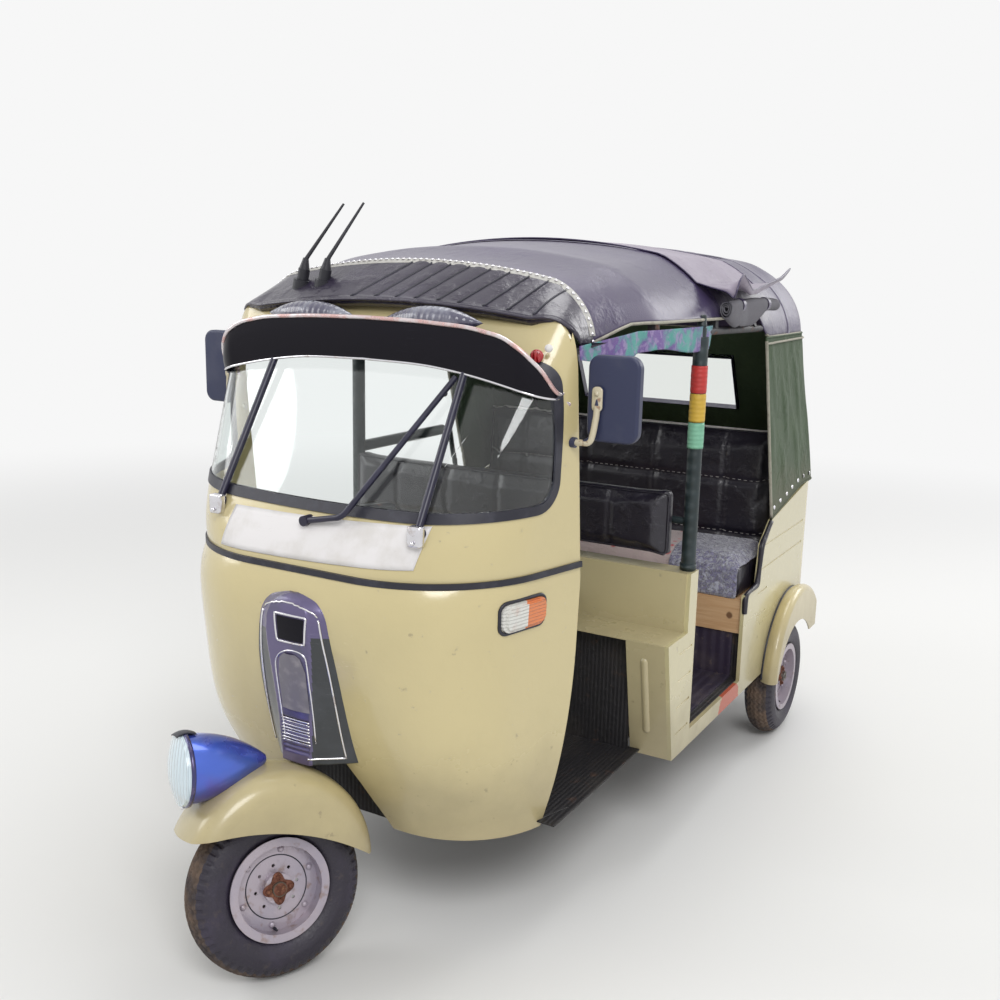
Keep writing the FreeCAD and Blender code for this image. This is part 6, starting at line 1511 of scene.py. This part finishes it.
# The column cover: a flat face, then on each side a hollow flank that falls to the nose as a smooth step.
def makeGrilleCover():
    xs, zs = np.linspace(*grille["noseX"]), np.linspace(*grille["noseZ"])
    table = noseTable(xs, zs)
    rows = np.array(grille["rows"], float)
    z = np.linspace(rows[0, 0], rows[-1, 0], grille["high"])[:, None]
    face, half, flank = (smoothRows(rows[:, 0], rows[:, k], z) for k in (1, 2, 3))
    s = np.linspace(-1, 1, grille["wide"])[None]
    x = np.sign(s) * np.abs(s) ** 0.9 * flank
    level = (z - zs[0]) / (zs[1] - zs[0]) + 0 * x
    spot = np.clip(np.abs(x) / (xs[1] - xs[0]), 0, len(xs) - 1.001)
    low, left = np.clip(level.astype(int), 0, len(zs) - 2), spot.astype(int)
    u, v = spot - left, level - low
    nose = ((table[low, left] * (1 - u) + table[low, left + 1] * u) * (1 - v) +
            (table[low + 1, left] * (1 - u) + table[low + 1, left + 1] * u) * v)
    part = np.clip((np.abs(x) - half) / (flank - half), 0, 1)
    step = grille["blend"] * part ** grille["hollow"] + (1 - grille["blend"]) * part ** 2
    crown = grille["crown"] * (1 - np.clip(np.abs(x) / half, 0, 1) ** 2)
    first, last = grille["slots"]
    slot = 0.5 - 0.5 * np.cos(2 * np.pi * (z - first) / grille["slotStep"])
    inside = (z > first) & (z < last) & (np.abs(x - grille["slotMiddle"]) < grille["slotHalf"])
    y = face + (nose - face) * step - crown + grille["slotDepth"] * slot * inside
    front = np.stack([x, np.minimum(y, nose - 1.0), z + 0 * x], axis=2)
    # the rim turns back on to the nose all round
    whole = np.concatenate([front[:, :1] + [0, 5, 0], front, front[:, -1:] + [0, 5, 0]], axis=1)
    whole = np.vstack([whole[:1] + [0, 7, 0], whole, whole[-1:] + [0, 6, 3]])
    piece = makePiece("grilleCover", [surface(whole)], "grille")

    def beside(middles):
        x, z = abs(middles[:, 0]) * 1000, middles[:, 2] * 1000
        return (x > np.interp(z, rows[:, 0], rows[:, 2]) + 4) & (z < grille["flankTop"])

    paintFaces(piece, "flank", beside)
    wall(piece, grille["wall"])
    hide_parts("nose_grille")
    return meshTree(piece.data), front


# Outlines are (x, z) on the cover's face; panels are by z: their left x and their right x.
badge = {"frame": ((-33, 846), (57, 846), (51, 781), (-28, 781), (-33, 846)), "line": 2.2, "frameLine": 2.8,
         "arch": ((-29, 531), (-41, 693), (-33, 738), (1, 760), (44, 756), (53, 713), (54, 535)),
         "louvres": (586, 578, 570, 562, 554, 546, 538, 530), "louvreEnds": (-36, 45), "louvre": 2.0,
         "edging": 2.6, "edgeRows": (6, 134, 3), "edgeColumns": (85, 7), "footColumns": (7, 86, 3),
         "lowColumns": (58, 86, 3), "proud": (0, -1.2, 0), "footRow": 132, "footRise": 11, "footMiddle": 46,
         "footHalf": 40, "footLine": 2.2, "plate": (786, 841, 8), "plateWidth": ((781, 38), (846, 43)),
         "plateMiddle": 12, "panel": (612, 752, 22),
         "panelLeft": ((612, -33), (693, -37), (738, -29), (752, -12)),
         "panelRight": ((612, 51), (713, 49), (745, 36), (752, 22))}


def makeGrilleTrim():
    tree, front = makeGrilleCover()
    frameLine = np.array(badge["frame"], float)
    run = runOf(frameLine)
    loop = between(np.linspace(0, run[-1], 40), run, frameLine)[:-1]
    shapes = [tube(laidOnFront(tree, loop, 1.0), badge["frameLine"], closed=True, upright=rearward),
              tube(laidOnFront(tree, smoothPath(badge["arch"]), 0.8), badge["line"], upright=rearward)]
    for z in badge["louvres"]:
        line = laidOnFront(tree, [(x, z) for x in np.linspace(*badge["louvreEnds"], 12)], 1.0)
        shapes.append(tube(line, badge["louvre"]))
    # the bright edging: inside both flanks' outer edges and across the foot on the left flank
    low, proud = badge["edgeRows"][0], badge["proud"]
    for column in badge["edgeColumns"]:
        edge = front[slice(*badge["edgeRows"]), column]
        shapes.append(tube(edge + proud, badge["edging"], upright=rearward))
    column = np.arange(*badge["footColumns"])
    arc = np.sqrt(np.clip(1 - ((column - badge["footMiddle"]) / badge["footHalf"]) ** 2, 0, 1))
    row = np.round(badge["footRow"] + badge["footRise"] * arc).astype(int)
    shapes.append(tube(front[row, column] + proud, badge["footLine"], upright=rearward))
    shapes.append(tube(front[low, slice(*badge["lowColumns"])] + proud, badge["edging"]))
    makePiece("grilleBrightLines", shapes, "chrome")
    middle, s = badge["plateMiddle"], np.linspace(-0.92, 0.92, 14)
    rows = [[meet(tree, (middle + readTable(z, badge["plateWidth"]) * part, rayStart, z), rearward,
                  1.4 + 1.2 * (1 - part ** 2)) for part in s] for z in np.linspace(*badge["plate"])]
    makePiece("badgePlate", [surface(np.array(rows))], "visor")
    rows = []
    for z in np.linspace(*badge["panel"]):
        left, right = readTable(z, badge["panelLeft"]), readTable(z, badge["panelRight"])
        rows.append([meet(tree, (left + (right - left) * part, rayStart, z), rearward,
                          1.0 + 3.5 * math.sin(math.pi * part)) for part in np.linspace(0.03, 0.97, 14)])
    makePiece("archPanel", [surface(np.array(rows))], "archPanel")


# The blank plate's corners as (x, z), how far its middle sags, and the y that its rays start from.
plate = {"top": ((-239, 1051), (311, 1068)), "foot": ((-259, 958), (290, 975)), "sag": 6, "wall": 1.5,
         "ahead": -400}


def makePlate():
    tree = treeOf("nose_shell", "windscreen_surround", "windscreen_rubber")
    top, foot = (np.linspace(*plate[edge], 56) for edge in ("top", "foot"))
    sag = [0, plate["sag"]] * np.sin(np.pi * np.linspace(0, 1, 56))[:, None]
    rows = [laidOnFront(tree, top * (1 - v) + foot * v - sag, 1.0, plate["ahead"])
            for v in np.linspace(0, 1, 9)]
    strip = makePiece("blankPlate", [surface(np.array(rows))], "plate")
    wall(strip, plate["wall"], inward=False)


# The outline's low and high corners as (y, z), then the radius of its corners.
indicator = {"outline": ((261, 821), (401, 893), 20), "line": 4.4}


def makeIndicatorFrames():
    tree = treeOf("nose_shell")
    shapes = []
    for side in (1, -1):
        path = [meet(tree, (side * 900, y, z), (-side, 0, 0), 1.0)
                for y, z in roundedOutline(*indicator["outline"])]
        shapes.append(tube(path, indicator["line"], closed=True, upright=(1, 0, 0)))
    makePiece("indicatorFrames", shapes, "rubber")


# The outlines are (x, z), for the vehicle's left half.
visor = {"upper": ((0, 1499), (200, 1494), (330, 1482), (400, 1462), (446, 1428), (474, 1388), (490, 1344)),
         "lower": ((0, 1402), (200, 1395), (366, 1369), (436, 1353), (474, 1341), (490, 1336)), "wall": 3.0,
         "bulge": 5.0, "lean": 3, "front": 345.0, "straight": 415,
         "corner": ((420, 345.3), (470, 375), (488, 440)), "lip": 5.0, "under": 3.0, "stayRadius": 5,
         "stay": ((486, 432, 1345), (492, 440, 1330), (497, 452, 1322)),
         "reflector": ((0.1, 0), (15, 0), (15, 5), (12, 8), (0.1, 9)), "reflectorPlace": (443, 392, 1431),
         "clip": ((0.1, 0), (9, 0), (9, 4), (6, 8), (0.1, 9)), "clipPlace": (468, 398, 1449)}


# The visor: its plan runs straight and then round each side, and its height goes from the lower outline to
# the upper one, with a slight outward bulge between.
def makeVisor():
    plan = np.vstack([np.linspace((0, visor["front"]), (visor["straight"], visor["front"]), 48),
                      arcThrough(*visor["corner"], 34)])
    x, y = plan[:, 0], plan[:, 1]
    lower, upper = (smoothRows(*np.array(visor[edge], float).T, np.minimum(x, 490))
                    for edge in ("lower", "upper"))
    v = np.linspace(0, 1, 18)[:, None]
    z = lower + (upper - lower) * v
    out = visor["bulge"] * np.sin(np.pi * v) * np.clip((upper - lower) / 60, 0, 1)
    half = np.stack([x + 0 * z, y - out - visor["lean"] * v, z], axis=2)
    whole = mirrored(half[:, ::-1])[:, ::-1]
    shell = makePiece("visorShell", [surface(whole)], "visor")
    wall(shell, visor["wall"])
    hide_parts("sun_visor")
    makePiece("visorLip", [tube(whole[-1] + [0, -1, 0], visor["lip"], 10)], "visorLip")
    makePiece("visorUnderLine", [tube(whole[0] + [0, 1, 0], visor["under"])], "chrome")
    makePiece("visorStays", [tube(smoothPath(np.array(visor["stay"]) * [side, 1, 1], 5), visor["stayRadius"])
                             for side in (1, -1)], "visorLip")
    reflector = turned(visor["reflector"], visor["reflectorPlace"], (0.35, -0.94, 0), 28)
    makePiece("sideReflector", [reflector], "red")
    clip = turned(visor["clip"], visor["clipPlace"], (0.6, -0.8, 0), 20)
    makePiece("sideClip", [clip], "plate")


# The fork's turn at rest, about an axis that leans back, from the front axle's middle.
steering = {"lean": 25, "turn": -30, "middle": (0, 0, 204.5)}


def steered(shape):
    points = np.asarray(shape[0], float)
    lean, turn = math.radians(steering["lean"]), math.radians(steering["turn"])
    axis = np.array([0, math.sin(lean), math.cos(lean)])
    moved = (points * math.cos(turn) + np.cross(axis, points) * math.sin(turn) +
             np.outer(points @ axis, axis) * (1 - math.cos(turn)))
    return moved + steering["middle"], shape[1]


# The lamp's own axes start at its tip, with y back along its middle line.
lamp = {"tip": (0, -178, 322), "tilt": -7.5, "radius": 78, "ringBack": 15, "clipRadius": 87, "clipWall": 2.4,
        "ring": ((-6, -5), (-7, 3), (-2, 6), (5, 6), (8, 1), (6, -4)), "clipHalf": 14,
        "screws": ((24, 82), (12, -86)), "screw": ((0.1, 0), (5, 0), (4.5, 3), (0.1, 4))}


def onLamp(points):
    tilt = math.radians(lamp["tilt"])
    x, y, z = (np.asarray(points, float)[..., k] for k in range(3))
    return np.stack([x, y * math.cos(tilt) - z * math.sin(tilt), y * math.sin(tilt) + z * math.cos(tilt)],
                    axis=-1) + lamp["tip"]


def makeLampTrim():
    ring = onLamp(np.insert(circle(64) * lamp["radius"], 1, lamp["ringBack"], axis=1))
    makePiece("headlampRing", [steered(sweep(ring, lamp["ring"], closed=True, upright=rearward))], "lampRing",
              "steering")
    wide = np.radians(np.linspace(90 - lamp["clipHalf"], 90 + lamp["clipHalf"], 12))[:, None]
    reach = np.linspace(0, 1, 9)[None]
    radius = lamp["clipRadius"]
    clip = onLamp(np.stack([radius * np.cos(wide) + 0 * reach, 40 - 46 * reach + 0 * wide,
                            radius * np.sin(wide) - 26 * (reach - 0.45) ** 2], axis=2))
    wall(makePiece("headlampClip", [steered(surface(clip))], "rubber", "steering"),
         lamp["clipWall"])
    screws = [steered(turned(lamp["screw"], onLamp((0, y, z)), (0, -0.3, 0.95), 14))
              for y, z in lamp["screws"]]
    makePiece("headlampScrews", screws, "chrome", "steering")


# The sleeves on the left post, from the top down: the look, the foot's height and the top's.
wraps = {"core": 20.0, "radius": 21.2, "place": (570, 1072, 0),
         "bands": (("wrapRed", 1300, 1375), ("wrapYellow", 1222, 1300), ("wrapMint", 1150, 1222))}


def makePostWraps():
    for look, low, high in wraps["bands"]:
        height = np.linspace(low + 1, high - 1, 12)
        part = (height - low) / (high - low)
        radius = wraps["radius"] + 0.9 * np.sin(np.pi * part) ** 0.3 + 0.25 * np.sin(height / 3.1)
        profile = [(wraps["core"], low + 1), *zip(radius, height), (wraps["core"], high - 1)]
        makePiece(look + "Sleeve", [turned(profile, wraps["place"], (0, 0, 1), 32)], look)


# The glass's rings are (share of the outline, y): it bulges a little to the back.
looking = {"low": (531, 1247), "high": (645, 1426), "radius": 22,
           "rings": ((1.0, 504.6), (0.6, 505.3), (0.2, 505.3), (0.01, 505.0))}


# A surface through rings, each one the outline drawn in towards its middle: (share of the outline, y).
def ringed(outline, middle, rings, side=1):
    points = []
    for share, y in rings:
        x, z = (middle + (outline - middle) * share).T
        points.append(np.column_stack([side * x, np.full(len(x), y), z]))
    return surface(np.array(points), wrapColumns=True)


def makeMirrorGlass():
    loop = roundedOutline(looking["low"], looking["high"], looking["radius"])
    middle = (np.array(looking["low"]) + looking["high"]) / 2
    makePiece("mirrorGlass", [ringed(loop, middle, looking["rings"], side) for side in (1, -1)], "looking",
              panes=True)


strap = {"y": 560, "studs": 34, "stud": ((0.1, 2), (5, 2), (4.2, 5.4), (2, 6.4), (0.1, 6.6))}


def makeStrapStuds():
    half, steps = roofHalf(strap["y"], 1470)
    line = between(np.linspace(4, steps[-1], strap["studs"]), steps, half)
    step = np.gradient(line, axis=0)
    normal = unit(np.stack([-step[:, 1], step[:, 0]], axis=1))
    normal *= np.sign(normal[:, 1:] + 1e-9)
    makePiece("strapStuds", [turned(strap["stud"], (side * x, strap["y"], z), (side * nx, 0, nz), 10)
                             for (x, z), (nx, nz) in zip(line, normal)
                             for side in ((1, -1) if x > 5 else (1,))], "chrome")


# The trim's line up the left doorway's rear edge, as (y, z), with a rippled thickness.
doorTrim = {"x": 595, "radius": 8.5,
            "path": ((1541, 560), (1541, 606), (1560, 622), (1610, 625), (1652, 630), (1664, 660),
                     (1672, 700), (1680, 752), (1715, 782), (1764, 818))}


def makeDoorTrim():
    path = smoothPath([(doorTrim["x"], y, z) for y, z in doorTrim["path"]], 6)
    radius = doorTrim["radius"] * (1 + 0.12 * np.sin(np.arange(len(path)) / 3.0))
    makePiece("doorEdgeTrim", [tube(path, radius[:, None, None], 12, upright=(1, 0, 0))], "leather")


# Small parts of the left side, mirrored on the right. Rings are (share of the outline, y), profiles are
# (radius, distance out).
small = {"arm": ((486, 464, 1236), (520, 464, 1237), (545, 465, 1243), (553, 472, 1288), (554, 476, 1322)),
         "armRadius": 7.4, "lug": ((541.5, 1310), (566.5, 1364), 10), "lugMiddle": (554, 1337),
         "lugRings": ((1.03, 482.5), (1.03, 474), (0.9, 472.4), (0.02, 472)),
         "bolt": ((0.1, -3), (6.5, -3), (6.5, 3), (4.5, 6), (0.1, 6.5)), "boltPlace": (554, 473, 1350),
         "foot": ((273, 1026), (307, 1072), 5), "footMiddle": (290, 1052),
         "footRings": ((1.0, 158), (1.0, 141), (0.85, 138.5), (0.02, 138)),
         "screw": ((0.1, 0), (5, 0), (5, 4), (3, 6), (0.1, 6.4)), "screwPlace": (290, 138, 1036),
         "post": ((570, 1072, 1445), (570, 1072, 1478), (566, 1074, 1506)), "postRadius": 13,
         "collar": ((20.2, 0), (23, 0), (23, 16), (20.2, 16)), "collarPlace": (570, 1072, 812),
         "seamX": 597.5, "seamMiddle": (2045, 250), "seamRadius": 270, "seamAngles": (177, 44), "seam": 5.0}


def makeSmallParts():
    arms, feet, posts, seams = [], [], [], []
    for side in (1, -1):
        flip = np.array([side, 1, 1])
        arms += [tube(smoothPath(small["arm"] * flip), small["armRadius"], 12),
                 ringed(roundedOutline(*small["lug"]), np.array(small["lugMiddle"]), small["lugRings"], side),
                 turned(small["bolt"], small["boltPlace"] * flip, (0, -1, 0), 6)]
        feet += [ringed(roundedOutline(*small["foot"]), np.array(small["footMiddle"]), small["footRings"],
                        side), turned(small["screw"], small["screwPlace"] * flip, (0, -1, 0), 6)]
        posts += [tube(smoothPath(small["post"] * flip, 6), small["postRadius"], 14),
                  turned(small["collar"], small["collarPlace"] * flip, (0, 0, 1), 24)]
        angle = np.radians(np.linspace(*small["seamAngles"], 60))
        arc = small["seamMiddle"] + small["seamRadius"] * np.stack([np.cos(angle), np.sin(angle)], axis=1)
        seams.append(tube(np.insert(arc, 0, side * small["seamX"], axis=1), small["seam"], 10,
                          upright=(1, 0, 0)))
    makePiece("mirrorArms", arms, "armPaint")
    makePiece("barFeet", feet, "chrome")
    makePiece("postEnds", posts, "post")
    makePiece("fenderSeams", seams, "rubber")


makeGrilleTrim()
makePlate()
makeIndicatorFrames()
makeVisor()
makeLampTrim()
makePostWraps()
makeMirrorGlass()
makeStrapStuds()
makeDoorTrim()
makeSmallParts()
print("trim made")
